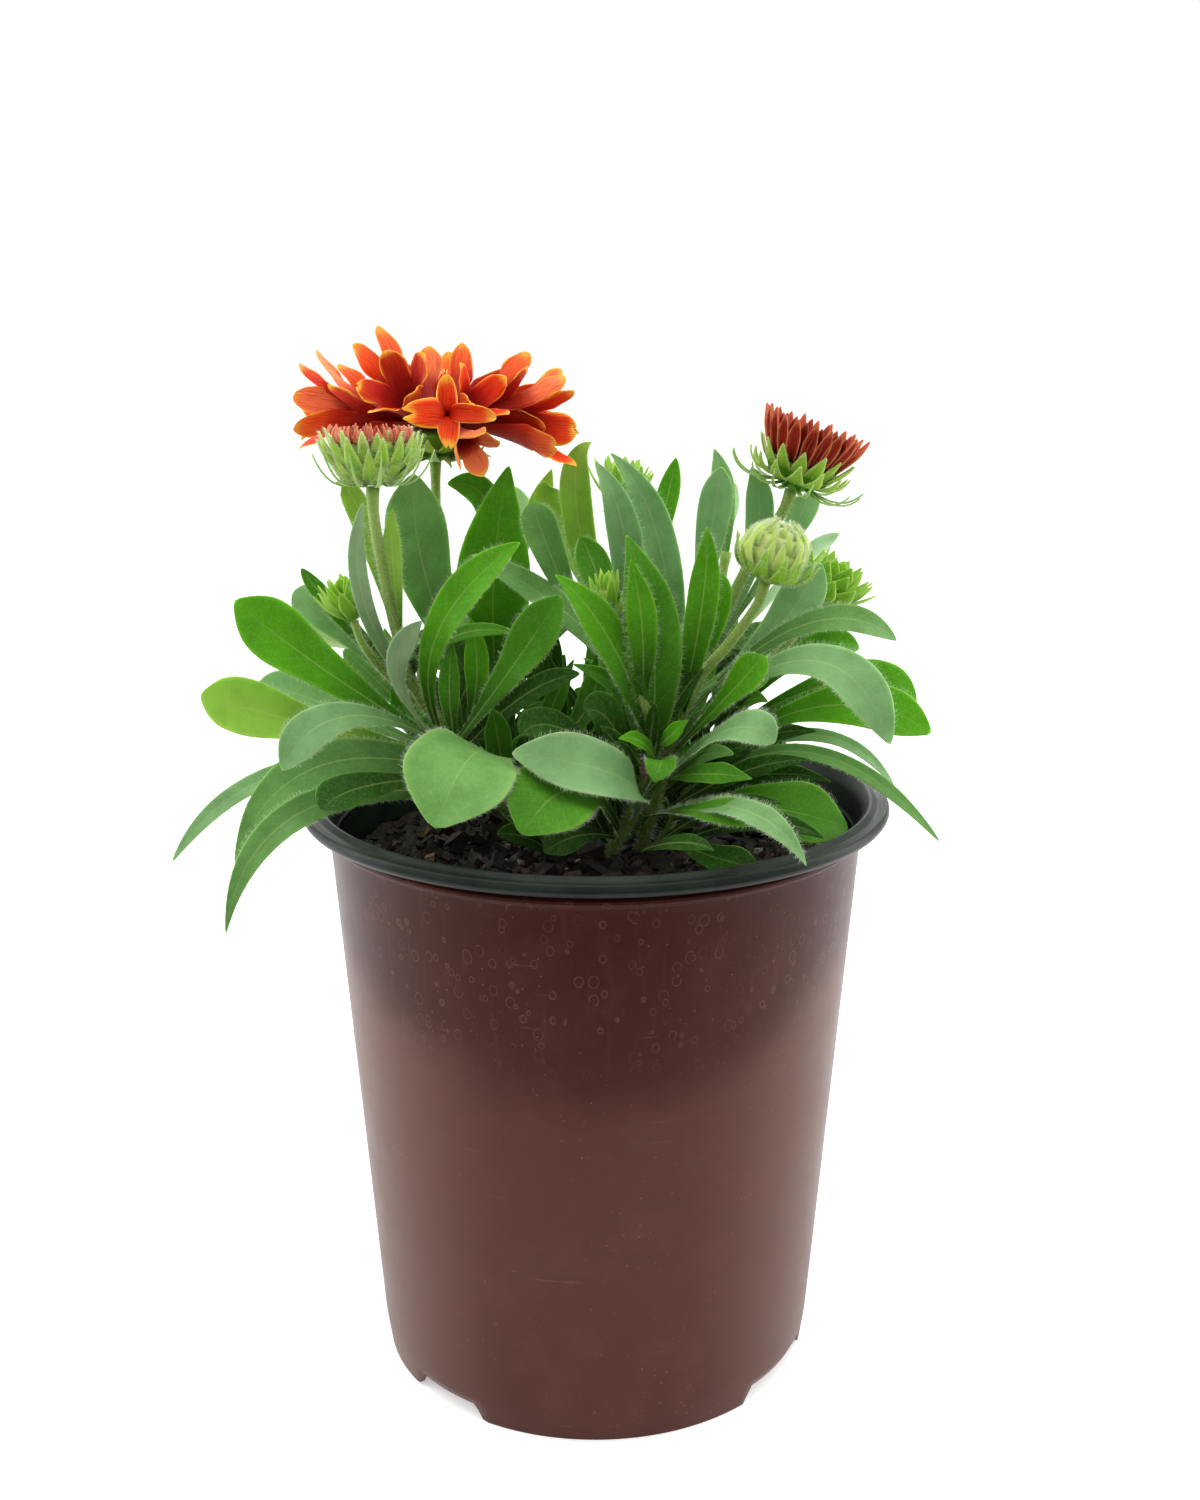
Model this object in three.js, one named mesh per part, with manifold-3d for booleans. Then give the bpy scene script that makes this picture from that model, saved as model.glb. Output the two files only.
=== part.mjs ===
// Blanket flower (Gaillardia) in a round plastic nursery pot. Millimetres, +Z up,
// origin at the middle of the pot's flat base, the open bloom at the left (-X), front is -Y.
import * as THREE from "three";
import { mergeVertices } from "three/addons/utils/BufferGeometryUtils.js";
import Module from "manifold-3d";

const wasm = await Module();
wasm.setup();

// ---- driving dimensions ---------------------------------------------------

// Nursery pot: the wall runs straight from the crease above the foot to the neck below the rim.
const POT_SIDES = 28;
const RIM_RADIUS = 82.5;
const RIM_Z = 167;
const NECK_RADIUS = 74.3;
const NECK_Z = 153;
const CREASE_RADIUS = 63.4;
const CREASE_Z = 9.5;
const FOOT_RADIUS = 62;
const POT_WALL = 1.4;
const FLOOR_RADIUS = 48;
const FLOOR_STEP = 4.9;
const FLOOR_THICKNESS = 1.9;
const NOTCH_HEIGHT = 4.6;
const NOTCH_SLANT = 1.6;
const NOTCHES = [
  { azimuth: -132, width: 22 },
  { azimuth: -31, width: 31 },
  { azimuth: 62, width: 26 },
  { azimuth: 140, width: 26 },
];
const DRAIN_COUNT = 6;
const DRAIN_RADIUS = 3.5;
const DRAIN_CIRCLE = 55;

// Potting mix
const GAP = 0.35;
const SOIL_Z = 147;
const SOIL_LUMP = 1.2;
const SOIL_SIDES = 20;
const SOIL_SHARES = [0.97, 0.78, 0.56, 0.34, 0.14];
const ROOT_DEPTH = 12;
const HOLE_ROOM = 0.95;

// Blades and stems
const BLADE_THICKNESS = 0.8;
const FLAT_BELOW = 11.5;
const KEEL = 1.3;
const STEM_SIDES = 5;
const STEM_STEP = 11;
const LEAF_STATIONS = [0, 0.36, 0.64, 0.87, 1];
const SLIM_STATIONS = [0, 0.46, 0.8, 1];
const SLIM_BELOW = 10.5;
const BRACT_STATIONS = [0, 0.55, 1];
const SHORT_STATIONS = [0, 1];
const NECK_LENGTH = 7;
const HEAD_SIDES = 12;

// Fluted rays of the open bloom
const RAY_WALL = 0.75;

// ---- finishes -------------------------------------------------------------

const finish = (color, roughness) => new THREE.MeshStandardMaterial({ color, roughness, metalness: 0 });
const finishes = {
  pot: () => finish(0x5a3226, 0.4),
  soil: () => finish(0x2c1f18, 0.95),
  leaf: () => finish(0x4c8a1e, 0.6),
  bract: () => finish(0xa5c355, 0.7),
  ray: () => finish(0xdc4619, 0.6),
  youngRay: () => finish(0x82281e, 0.7),
  tip: () => finish(0xd9a080, 0.7),
  disc: () => finish(0x641412, 0.85),
};

// ---- small helpers --------------------------------------------------------

const radians = (degrees) => (degrees * Math.PI) / 180;
const vector = (place) => new THREE.Vector3(...place);
const FRONT = [0, -0.78, 0.62];
const BACK = [0, 0.6, 0.8];

// A place at a radius and height, turned round the Z axis.
const polar = (radius, angle, z) => [radius * Math.cos(angle), radius * Math.sin(angle), z];

// A repeatable draw between -1 and 1.
function draws(seed) {
  let state = seed;
  return () => {
    state = (state * 16807) % 2147483647;
    return (2 * state) / 2147483647 - 1;
  };
}

// ---- solids ---------------------------------------------------------------

// A closed three.js geometry as a solid whose faces point outwards.
function solid(geometry) {
  const bare = geometry.clone();
  bare.deleteAttribute("normal");
  bare.deleteAttribute("uv");
  const merged = mergeVertices(bare, 1e-4);
  const triVerts = new Uint32Array(merged.index.array);
  const vertProperties = merged.attributes.position.array;
  const made = new wasm.Manifold(new wasm.Mesh({ numProp: 3, vertProperties, triVerts }));
  if (made.volume() > 0) return made;
  for (let i = 0; i < triVerts.length; i += 3) {
    [triVerts[i + 1], triVerts[i + 2]] = [triVerts[i + 2], triVerts[i + 1]];
  }
  return new wasm.Manifold(new wasm.Mesh({ numProp: 3, vertProperties, triVerts }));
}

// Solids joined into one body: loose scraps are dropped and sealed hollows filled.
function fuse(solids) {
  const joined = solids.reduce((sum, next) => sum.add(next));
  return joined.decompose().reduce((best, body) => (body.volume() > best.volume() ? body : best));
}

function geometryOf(body) {
  const { vertProperties, triVerts } = body.getMesh();
  const geometry = new THREE.BufferGeometry();
  geometry.setAttribute("position", new THREE.BufferAttribute(Float32Array.from(vertProperties), 3));
  geometry.setIndex([...triVerts]);
  return geometry;
}

function named(name, body, material) {
  const mesh = new THREE.Mesh(geometryOf(body), material);
  mesh.name = name;
  return mesh;
}

function faceted(points, faces) {
  const geometry = new THREE.BufferGeometry();
  const places = points.flatMap((point) => [point.x, point.y, point.z]);
  geometry.setAttribute("position", new THREE.Float32BufferAttribute(places, 3));
  geometry.setIndex(faces.flat());
  return geometry;
}

// A closed skin through rings of equal count; quads of the sides in turned are split the other way.
function loft(rings, turned = []) {
  const count = rings[0].length;
  const faces = [];
  for (let row = 0; row < rings.length - 1; row += 1) {
    for (let side = 0; side < count; side += 1) {
      const a = row * count + side;
      const b = row * count + ((side + 1) % count);
      const c = b + count;
      const d = a + count;
      if (turned.includes(side)) faces.push([a, b, d], [b, c, d]);
      else faces.push([a, b, c], [a, c, d]);
    }
  }
  const last = (rings.length - 1) * count;
  for (let side = 1; side < count - 1; side += 1) {
    faces.push([0, side + 1, side], [last, last + side, last + side + 1]);
  }
  return faceted(rings.flat(), faces);
}

function turnedProfile(points, sides) {
  const closed = points.map(([radius, z]) => new THREE.Vector2(radius, z));
  if (points[0][0] > 0) closed.push(closed[0].clone());
  const geometry = new THREE.LatheGeometry(closed, sides);
  return solid(geometry.rotateX(Math.PI / 2));
}

// ---- blades and stems -----------------------------------------------------

// Half width along a blade as a share of the widest, from the root at 0 to just before the tip.
const outlines = {
  spoon: (t) => 0.16 + 0.84 * Math.sin(Math.PI * 0.93 * t ** 1.75) ** 0.9,
  lance: (t) => 0.2 + 0.8 * Math.sin(Math.PI * 0.97 * t ** 1.15) ** 0.9,
  strap: (t) => 0.35 + 0.65 * Math.sin(Math.PI * 0.97 * t ** 1.4) ** 0.7,
  bract: (t) => 1 - 0.85 * t ** 1.3,
  ray: (t) => 0.55 + 0.45 * Math.sin(Math.PI * 0.95 * t),
};
const tipShare = { spoon: 0.3, lance: 0.08, strap: 0.12, bract: 0.1, ray: 0.3 };

// The curve that leaves root, passes through over half way, and ends at tip.
function bentThrough(root, over, tip) {
  const control = over.clone().multiplyScalar(2).addScaledVector(root, -0.5).addScaledVector(tip, -0.5);
  return new THREE.QuadraticBezierCurve3(root, control, tip);
}

// A thin blade, square to its curve and turned to face. A wide one is channelled, with six
// points to a section, a narrow one is flat, with four, and a keeled one has three.
function blade(plan) {
  const { root, over, tip, width, face = FRONT, outline = "spoon", roll = 0 } = plan;
  const { channel = 0.16, flat = width < FLAT_BELOW, keeled = false } = plan;
  const { stations = width < SLIM_BELOW ? SLIM_STATIONS : LEAF_STATIONS } = plan;
  const curve = bentThrough(vector(root), vector(over), vector(tip));
  const rings = stations.map((t) => {
    const middle = curve.getPoint(t);
    const along = curve.getTangent(t);
    const across = along.clone().cross(vector(face)).normalize().applyAxisAngle(along, radians(roll));
    const above = across.clone().cross(along).normalize();
    const share = t === 1 ? tipShare[outline] : outlines[outline](t);
    const half = Math.max((width / 2) * share, 0.4);
    const place = (side, level) =>
      middle.clone().addScaledVector(across, side * half).addScaledVector(above, level);
    if (keeled) return [place(-1, 0), place(0, KEEL * (1 - 0.4 * t)), place(1, 0)];
    const skin = BLADE_THICKNESS / 2;
    if (flat) return [place(-1, skin), place(1, skin), place(1, -skin), place(-1, -skin)];
    const edge = channel * half;
    return [
      place(-1, edge + skin), place(0, skin), place(1, edge + skin),
      place(1, edge - skin), place(0, -skin), place(-1, edge - skin),
    ];
  });
  if (keeled) return solid(loft(rings));
  return solid(loft(rings, flat ? [2] : [3, 4]));
}

// A round stem along a curve.
function tube(curve, radius) {
  const section = new THREE.Shape();
  for (let side = 0; side < STEM_SIDES; side += 1) {
    const [x, y] = polar(radius, (2 * Math.PI * side) / STEM_SIDES, 0);
    if (side === 0) section.moveTo(x, y);
    else section.lineTo(x, y);
  }
  const steps = Math.max(3, Math.round(curve.getLength() / STEM_STEP));
  return solid(new THREE.ExtrudeGeometry(section, { steps, extrudePath: curve }));
}

const smooth = (places) => new THREE.CatmullRomCurve3(places.map(vector), false, "catmullrom", 0.5);

// ---- flower heads: where each sits and which way it faces -----------------

const heads = {
  bloom: { place: [-44.4, 16, 257.6], axis: [0.03, -0.06, 1] },
  closed: { place: [-55.5, -36, 256], axis: [0, 0.03, 1] },
  open: { place: [53, -2, 251.5], axis: [0.34, -0.04, 0.94] },
  bud: { place: [44, -28, 230.5], axis: [0.3, -0.12, 1] },
  starBud: { place: [62, 8, 219], axis: [0.5, -0.1, 0.85] },
  centreBud: { place: [4, -30, 220.5], axis: [-0.1, -0.1, 1] },
  smallBud: { place: [-66, -4, 216], axis: [-0.3, 0, 0.95] },
  rearBud: { place: [7, 45, 242.5], axis: [0.05, 0, 1] },
};

// The last two places of a stem, in line with the head that it carries.
function neckTo({ place, axis }) {
  const along = vector(axis).normalize();
  const below = (distance) => vector(place).addScaledVector(along, -distance).toArray();
  return [below(NECK_LENGTH), below(GAP)];
}

// ---- leafy shoots ---------------------------------------------------------

// Each shoot: its route up from the soil, its radius, its leaves and its side stems. A leaf
// leaves the stem at a share of its length, passes through over half way and ends at tip.
const shoots = {
  left_rosette: {
    route: [[-12, 2, 147], [-27, -4, 166], [-41, -10, 182]],
    radius: 2.2,
    leaves: [
      { at: 0.95, over: [-73, -14, 204], tip: [-95, -20, 224], width: 17 },
      { at: 0.86, over: [-80, -16, 190], tip: [-105, -22, 199], width: 16 },
      { at: 0.8, over: [-74, 2, 190], tip: [-95, 6, 196], width: 11 },
      { at: 0.97, over: [-64, -34, 196], tip: [-80, -44, 184], width: 13 },
      { at: 0.92, over: [-55, -24, 204], tip: [-45, -27, 220], width: 7, roll: 60 },
      { at: 0.62, over: [-72, -22, 180], tip: [-97, -28, 154], width: 13 },
      { at: 0.45, over: [-74, -36, 172], tip: [-96, -48, 141], width: 9, outline: "strap" },
      { at: 0.55, over: [-84, 2, 172], tip: [-121, 0, 145], width: 6.5, outline: "strap" },
      { at: 0.7, over: [-58, -36, 178], tip: [-69, -50, 175], width: 11 },
      { at: 0.5, over: [-30, -40, 188], tip: [-39, -68, 176], width: 28 },
      { at: 1, over: [-42, -26, 214], tip: [-19, -32, 241], width: 11 },
      { at: 0.96, over: [-23, -15, 204], tip: [-9, -19, 225], width: 13 },
      { at: 0.9, over: [-20, -12, 196], tip: [-4, -19, 204], width: 7, outline: "strap" },
    ],
  },
  left_head_stem: {
    route: [[-14, 11, 147], [-30, 8, 170], [-48, 0, 192], [-53, -14, 214], [-55, -29, 237]],
    head: heads.closed,
    radius: 1.9,
    leaves: [
      { at: 0.34, over: [-70, 8, 210], tip: [-85, 10, 221], width: 11 },
      { at: 0.4, over: [-72, 4, 217], tip: [-81, 4, 229], width: 5, outline: "lance" },
      { at: 0.45, over: [-61, -17, 222], tip: [-60, -22, 250], width: 5, outline: "strap" },
      { at: 0.6, over: [-64, 6, 242], tip: [-71, 6, 252], width: 7, outline: "lance" },
      { at: 0.6, over: [-52, -28, 235], tip: [-51, -34, 250], width: 5, outline: "lance" },
    ],
    branches: [
      { at: 0.36, route: [[-58, 0, 200]], head: heads.smallBud, radius: 1.4 },
    ],
  },
  bloom_stem: {
    route: [[-8, 20, 147], [-24, 22, 172], [-42, 20, 206], [-44.5, 18, 238]],
    head: heads.bloom,
    radius: 1.8,
    leaves: [
      { at: 0.3, over: [-45, 4, 220], tip: [-49, 2, 255], width: 17 },
      { at: 0.3, over: [-29, 14, 218], tip: [-24, 15, 256], width: 21, outline: "lance" },
      { at: 0.6, over: [-31, 30, 240], tip: [-43, 34, 249], width: 9 },
    ],
  },
  centre_shoot: {
    route: [[4, -2, 147], [12, -14, 168], [15, -24, 189], [11, -29, 202]],
    head: heads.centreBud,
    radius: 1.9,
    leaves: [
      { at: 0.12, over: [-3, -40, 178], tip: [-15, -64, 173], width: 21 },
      { at: 0.2, over: [8, -39, 180], tip: [-21, -49, 190], width: 16 },
      { at: 0.1, over: [-4, -16, 158], tip: [-14, -22, 155], width: 9 },
      { at: 0.5, over: [1, 2, 208], tip: [-34, 2, 233], width: 9 },
      { at: 0.35, over: [-8, -17, 188], tip: [-20, -23, 188], width: 10 },
      { at: 0.3, over: [5, -14, 188], tip: [-3, -16, 193], width: 12 },
      { at: 0.55, over: [4, -36, 216], tip: [-10, -40, 234], width: 10, outline: "lance" },
      { at: 0.8, over: [1, -22, 230], tip: [-4, -20, 241], width: 9, outline: "lance" },
      { at: 0.72, over: [12, -37, 220], tip: [9, -41, 238], width: 8, outline: "lance" },
      { at: 0.45, over: [15, -33, 214], tip: [8, -33, 243], width: 15, outline: "lance" },
      { at: 0.3, over: [17, -35, 184], tip: [15, -44, 181], width: 8 },
    ],
  },
  right_bud_stem: {
    route: [[13, 4, 147], [18, -6, 168], [22, -16, 188], [28, -23, 204], [35.5, -25.5, 214]],
    head: heads.bud,
    radius: 1.8,
    leaves: [
      { at: 0.5, over: [27, -37, 224], tip: [28, -40, 246], width: 8, outline: "lance" },
      { at: 0.6, over: [47, -16, 214], tip: [60, -13, 233], width: 12 },
      { at: 0.5, over: [54, -20, 217], tip: [82, -8, 211], width: 8 },
      { at: 0.42, over: [53, -40, 213], tip: [74, -52, 193], width: 15 },
      { at: 0.38, over: [35, -34, 202], tip: [43, -38, 213], width: 9 },
      { at: 0.28, over: [33, -50, 196], tip: [44, -62, 196], width: 10 },
      { at: 0.15, over: [25, -36, 177], tip: [42, -48, 182], width: 7 },
      { at: 0.16, over: [30, -62, 186], tip: [50, -76, 170], width: 9 },
    ],
  },
  right_head_stem: {
    route: [[10, 14, 147], [20, 12, 172], [27, 8, 194], [34, 4, 212], [42, 1, 230]],
    head: heads.open,
    radius: 1.9,
    leaves: [
      { at: 0.32, over: [30, -8, 212], tip: [31, -8, 231], width: 11 },
      { at: 0.4, over: [31, 10, 230], tip: [35, 12, 256], width: 11 },
      { at: 0.45, over: [44, 12, 230], tip: [43, 11, 256], width: 9 },
      { at: 0.5, over: [54, 16, 235], tip: [59, 20, 248], width: 8 },
      { at: 0.28, over: [19, 12, 230], tip: [4, 10, 260], width: 12, outline: "lance" },
    ],
  },
  far_right_shoot: {
    route: [[19, 9, 147], [30, 12, 170], [42, 11, 190], [53, 10, 205]],
    head: heads.starBud,
    radius: 1.7,
    leaves: [
      { at: 0.45, over: [57, 4, 204], tip: [74, 6, 206], width: 9 },
      { at: 0.4, over: [66, 0, 197], tip: [90, 2, 191], width: 14 },
      { at: 0.32, over: [62, -10, 193], tip: [91, -16, 187], width: 14 },
      { at: 0.25, over: [60, 2, 182], tip: [86, 8, 165], width: 7, outline: "strap" },
      { at: 0.16, over: [58, -10, 180], tip: [95, -16, 156], width: 8, outline: "strap" },
      { at: 0.1, over: [42, -22, 168], tip: [68, -26, 163], width: 15 },
      { at: 0.05, over: [28, -38, 160], tip: [42, -54, 161], width: 9 },
      { at: 0.5, over: [64, 32, 204], tip: [86, 44, 204], width: 13, face: BACK },
    ],
  },
  rear_centre_shoot: {
    route: [[3, 23, 147], [8, 29, 175], [10, 35, 204]],
    head: heads.rearBud,
    radius: 1.8,
    leaves: [
      { at: 0.4, over: [-5, 19, 241], tip: [-1, 20, 262], width: 9, outline: "lance" },
      { at: 0.35, over: [-10, 8, 226], tip: [-17, 6, 247], width: 10 },
      { at: 0.35, over: [9, 4, 231], tip: [0, 5, 258], width: 11, outline: "lance" },
      { at: 0.5, over: [-10, 38, 233], tip: [-14, 38, 249], width: 8 },
      { at: 0.6, over: [20, 48, 238], tip: [24, 52, 255], width: 7, outline: "lance" },
      { at: 0.3, over: [8, 64, 188], tip: [4, 92, 180], width: 15, face: BACK },
      { at: 0.5, over: [12, 62, 218], tip: [15, 78, 236], width: 11, face: BACK },
      { at: 0.4, over: [-6, 58, 206], tip: [-12, 76, 216], width: 11, face: BACK },
    ],
  },
  rear_left_shoot: {
    route: [[-6, 30, 147], [-16, 34, 172], [-25, 37, 203], [-21, 42, 232]],
    radius: 1.9,
    leaves: [
      { at: 0.35, over: [-46, 56, 190], tip: [-72, 72, 188], width: 15, face: BACK },
      { at: 0.3, over: [-22, 66, 192], tip: [-30, 94, 188], width: 15, face: BACK },
      { at: 0.5, over: [-43, 50, 216], tip: [-62, 58, 236], width: 12, face: BACK },
      { at: 0.6, over: [-24, 60, 222], tip: [-25, 74, 244], width: 11, face: BACK },
      { at: 0.2, over: [-40, 62, 178], tip: [-58, 84, 158], width: 12, face: BACK },
      { at: 0.45, over: [-60, 30, 200], tip: [-90, 34, 204], width: 14, face: BACK },
      { at: 0.95, over: [-17, 45, 240], tip: [-13, 48, 252], width: 7, outline: "lance" },
    ],
  },
  rear_right_shoot: {
    route: [[14, 25, 147], [25, 33, 172], [34, 39, 200], [39, 43, 228]],
    radius: 1.9,
    leaves: [
      { at: 0.3, over: [50, 62, 190], tip: [74, 78, 184], width: 15, face: BACK },
      { at: 0.4, over: [33, 66, 198], tip: [36, 92, 196], width: 14, face: BACK },
      { at: 0.55, over: [56, 50, 216], tip: [74, 54, 232], width: 12, face: BACK },
      { at: 0.75, over: [40, 56, 230], tip: [43, 66, 246], width: 10, face: BACK },
      { at: 0.2, over: [36, 66, 176], tip: [50, 92, 158], width: 12, face: BACK },
      { at: 0.95, over: [38, 46, 244], tip: [35, 48, 258], width: 7, outline: "lance" },
    ],
  },
};

function stemPlaces({ route, head }, start) {
  return [start, ...route, ...(head ? neckTo(head) : [])];
}

function shootCurve(plan) {
  const [x, y] = plan.route[0];
  return smooth(stemPlaces(plan, [x, y, SOIL_Z - ROOT_DEPTH]));
}

function shoot(plan) {
  const curve = shootCurve(plan);
  const buried = ROOT_DEPTH / curve.getLength();
  const rootAt = (share) => curve.getPointAt(buried + share * (1 - buried)).toArray();
  const leaves = plan.leaves.map((leaf) => blade({ ...leaf, root: rootAt(leaf.at) }));
  const branches = (plan.branches ?? []).map((branch) =>
    tube(smooth(stemPlaces(branch, rootAt(branch.at))), branch.radius),
  );
  return fuse([tube(curve, plan.radius), ...branches, ...leaves]);
}

// ---- pot and potting mix --------------------------------------------------

const wallSlope = (NECK_RADIUS - CREASE_RADIUS) / (NECK_Z - CREASE_Z);
const innerWallRadius = (z) => CREASE_RADIUS + (z - CREASE_Z) * wallSlope - POT_WALL;
const FLOOR_INSIDE_Z = FLOOR_STEP + FLOOR_THICKNESS;

function potShell() {
  return turnedProfile([
    [0, 0],
    [FLOOR_RADIUS, 0],
    [FLOOR_RADIUS + 1.5, FLOOR_STEP],
    [FOOT_RADIUS - 2.2, FLOOR_STEP + 0.3],
    [FOOT_RADIUS - POT_WALL, 0],
    [FOOT_RADIUS, 0],
    [CREASE_RADIUS, CREASE_Z],
    [NECK_RADIUS, NECK_Z],
    [NECK_RADIUS + 0.5, RIM_Z - 9],
    [NECK_RADIUS + 1.9, RIM_Z - 7.6],
    [NECK_RADIUS + 1.1, RIM_Z - 6.2],
    [NECK_RADIUS + 1.4, RIM_Z - 4.5],
    [RIM_RADIUS - 1, RIM_Z - 4.6],
    [RIM_RADIUS, RIM_Z - 2.8],
    [RIM_RADIUS - 0.8, RIM_Z - 0.9],
    [RIM_RADIUS - 3.5, RIM_Z - 1.4],
    [RIM_RADIUS - 6, RIM_Z],
    [RIM_RADIUS - 8, RIM_Z - 3.5],
    [innerWallRadius(NECK_Z), NECK_Z],
    [innerWallRadius(CREASE_Z + 1.5), CREASE_Z + 1.5],
    [FLOOR_RADIUS + 2.5, FLOOR_INSIDE_Z],
    [FLOOR_RADIUS + 0.8, FLOOR_THICKNESS],
    [0, FLOOR_THICKNESS],
  ], POT_SIDES);
}

// A slanted-sided cutter through the foot's skirt.
function notchCutter({ azimuth, width }) {
  const half = FOOT_RADIUS * Math.tan(radians(width / 2));
  const section = new THREE.Shape();
  section.moveTo(-half - NOTCH_SLANT, -1);
  section.lineTo(half + NOTCH_SLANT, -1);
  section.lineTo(half - NOTCH_SLANT, NOTCH_HEIGHT);
  section.lineTo(-half + NOTCH_SLANT, NOTCH_HEIGHT);
  section.closePath();
  const geometry = new THREE.ExtrudeGeometry(section, { depth: 16, bevelEnabled: false });
  geometry.rotateX(Math.PI / 2);
  geometry.translate(0, FOOT_RADIUS + 6, 0);
  geometry.rotateZ(radians(azimuth - 90));
  return solid(geometry);
}

function drainCutter(index) {
  const angle = radians(15 + (360 / DRAIN_COUNT) * index);
  const geometry = new THREE.CylinderGeometry(DRAIN_RADIUS, DRAIN_RADIUS, 8, 10);
  geometry.rotateX(Math.PI / 2);
  geometry.translate(...polar(DRAIN_CIRCLE, angle, FLOOR_STEP + 1));
  return solid(geometry);
}

function nurseryPot() {
  const cutters = NOTCHES.map(notchCutter);
  for (let index = 0; index < DRAIN_COUNT; index += 1) cutters.push(drainCutter(index));
  return cutters.reduce((pot, cutter) => pot.subtract(cutter), potShell());
}

// Height of the lumpy top of the mix, from three crossing waves.
const soilHeight = (x, y) =>
  SOIL_Z +
  SOIL_LUMP * (Math.sin(0.31 * x + 1.3) * Math.cos(0.27 * y) + 0.6 * Math.sin(0.57 * x - 0.41 * y));

function soilRing(radius, height) {
  const ring = [];
  for (let side = 0; side < SOIL_SIDES; side += 1) {
    const [x, y] = polar(radius, (2 * Math.PI * side) / SOIL_SIDES, 0);
    ring.push(new THREE.Vector3(x, y, height ?? soilHeight(x, y)));
  }
  return ring;
}

function pottingMix() {
  const lowWall = CREASE_Z + 2;
  const highWall = SOIL_Z - 3;
  const rings = [
    soilRing(FLOOR_RADIUS, FLOOR_THICKNESS + GAP),
    soilRing(FLOOR_RADIUS + 1.8, FLOOR_INSIDE_Z + GAP),
    soilRing(innerWallRadius(lowWall) - 3 * GAP, lowWall),
    soilRing(innerWallRadius(highWall) - 2 * GAP, highWall),
    ...SOIL_SHARES.map((share) => soilRing((innerWallRadius(SOIL_Z) - 2 * GAP) * share)),
  ];
  const holes = Object.values(shoots).map(({ route, radius }) => {
    const depth = ROOT_DEPTH + GAP;
    const geometry = new THREE.CylinderGeometry(radius + HOLE_ROOM, radius + HOLE_ROOM, 2 * depth, 8);
    geometry.rotateX(Math.PI / 2);
    geometry.translate(...route[0]);
    return solid(geometry);
  });
  return holes.reduce((mix, hole) => mix.subtract(hole), solid(loft(rings)));
}

// ---- heads ----------------------------------------------------------------

// Blades in a ring round the Z axis: root, over and tip are each [radius, height].
function bladeRing({ count, start = 0, root, over, tip, width, jitter = 0, seed = 1, face = 0, ...rest }) {
  const draw = draws(seed);
  const blades = [];
  for (let index = 0; index < count; index += 1) {
    const angle = radians(start + (360 / count) * index + jitter * 40 * draw());
    const stretch = 1 + jitter * draw();
    const lift = jitter * 6 * draw();
    const place = ([radius, z], share) => polar(radius * (share ? stretch : 1), angle, z + lift * share);
    blades.push(
      blade({
        root: place(root, 0),
        over: place(over, 0.4),
        tip: place(tip, 1),
        width,
        face: polar(Math.cos(radians(face)), angle, Math.sin(radians(face))),
        outline: "bract",
        stations: BRACT_STATIONS,
        keeled: true,
        ...rest,
      }),
    );
  }
  return blades;
}

// A ring of square section that holds the ray roots together.
function rayRing(inner, outer, low, high) {
  return turnedProfile([[inner, low], [outer, low], [outer, high], [inner, high]], HEAD_SIDES);
}

// A dome of disc florets, studded by a wave round each circle.
function floretDome(radius, low, height) {
  const rings = [];
  const shares = [1, 0.92, 0.66, 0.38, 0.14];
  shares.forEach((share, row) => {
    const ring = [];
    for (let side = 0; side < 16; side += 1) {
      const angle = (2 * Math.PI * (side + (row % 2) / 2)) / 16;
      const bump = row === 0 ? 0 : 0.45 * (side % 2);
      const rise = row === 0 ? 0 : height * Math.sqrt(1 - (share * 0.94) ** 2);
      ring.push(vector(polar(radius * share, angle, low + rise + bump)));
    }
    rings.push(ring);
  });
  return solid(loft(rings));
}

const closedCup = () =>
  turnedProfile([[0, 0], [3, 0], [9.6, 3], [11.6, 7.4], [10.4, 9.6], [0, 10.2]], HEAD_SIDES);

function closedHeadGreen() {
  return fuse([
    closedCup(),
    ...bladeRing({
      count: 11, start: 15, root: [7, 3], over: [12, 4.4], tip: [13, 9.4], width: 5.2, seed: 5,
    }),
    ...bladeRing({
      count: 11, root: [9.6, 5.4], over: [11.4, 9], tip: [12.6, 12.6], width: 5, seed: 6,
      stations: SHORT_STATIONS,
    }),
    ...bladeRing({
      count: 6, start: 20, root: [4, 1.6], over: [12.8, 2], tip: [16, 9.4], width: 1.9, seed: 7,
      jitter: 0.08, face: 90,
    }),
  ]);
}

function closedHeadTips() {
  return fuse([
    rayRing(7.4, 9.2, 10.75, 11.9),
    ...bladeRing({
      count: 13, root: [8.4, 11.2], over: [9, 13], tip: [7, 14.2], width: 2.6, outline: "ray", seed: 8,
      jitter: 0.03,
    }),
  ]);
}

function openHeadGreen() {
  return fuse([
    turnedProfile([[0, 0], [2.8, 0], [8.2, 3.2], [10.2, 6.8], [0, 7.2]], HEAD_SIDES),
    ...bladeRing({
      count: 11, start: 15, root: [5.6, 3], over: [11.8, 3.4], tip: [14.2, 7.8], width: 5.6, seed: 11,
    }),
    ...bladeRing({
      count: 10, root: [8.4, 4.6], over: [11, 7.6], tip: [13.4, 11], width: 4.8, seed: 12,
      stations: SHORT_STATIONS,
    }),
    ...bladeRing({
      count: 6, start: 8, root: [4, 1.8], over: [13, 0.6], tip: [18.4, 5.4], width: 1.9, seed: 13,
      jitter: 0.1, face: 90,
    }),
  ]);
}

function openHeadRays() {
  return fuse([
    rayRing(7.6, 9.6, 7.6, 9.2),
    ...bladeRing({
      count: 17, root: [8.6, 8.2], over: [11, 13], tip: [14.2, 18.6], width: 4.3, outline: "ray",
      seed: 14, jitter: 0.04, stations: [0, 0.5, 0.85, 1],
    }),
  ]);
}

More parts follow.
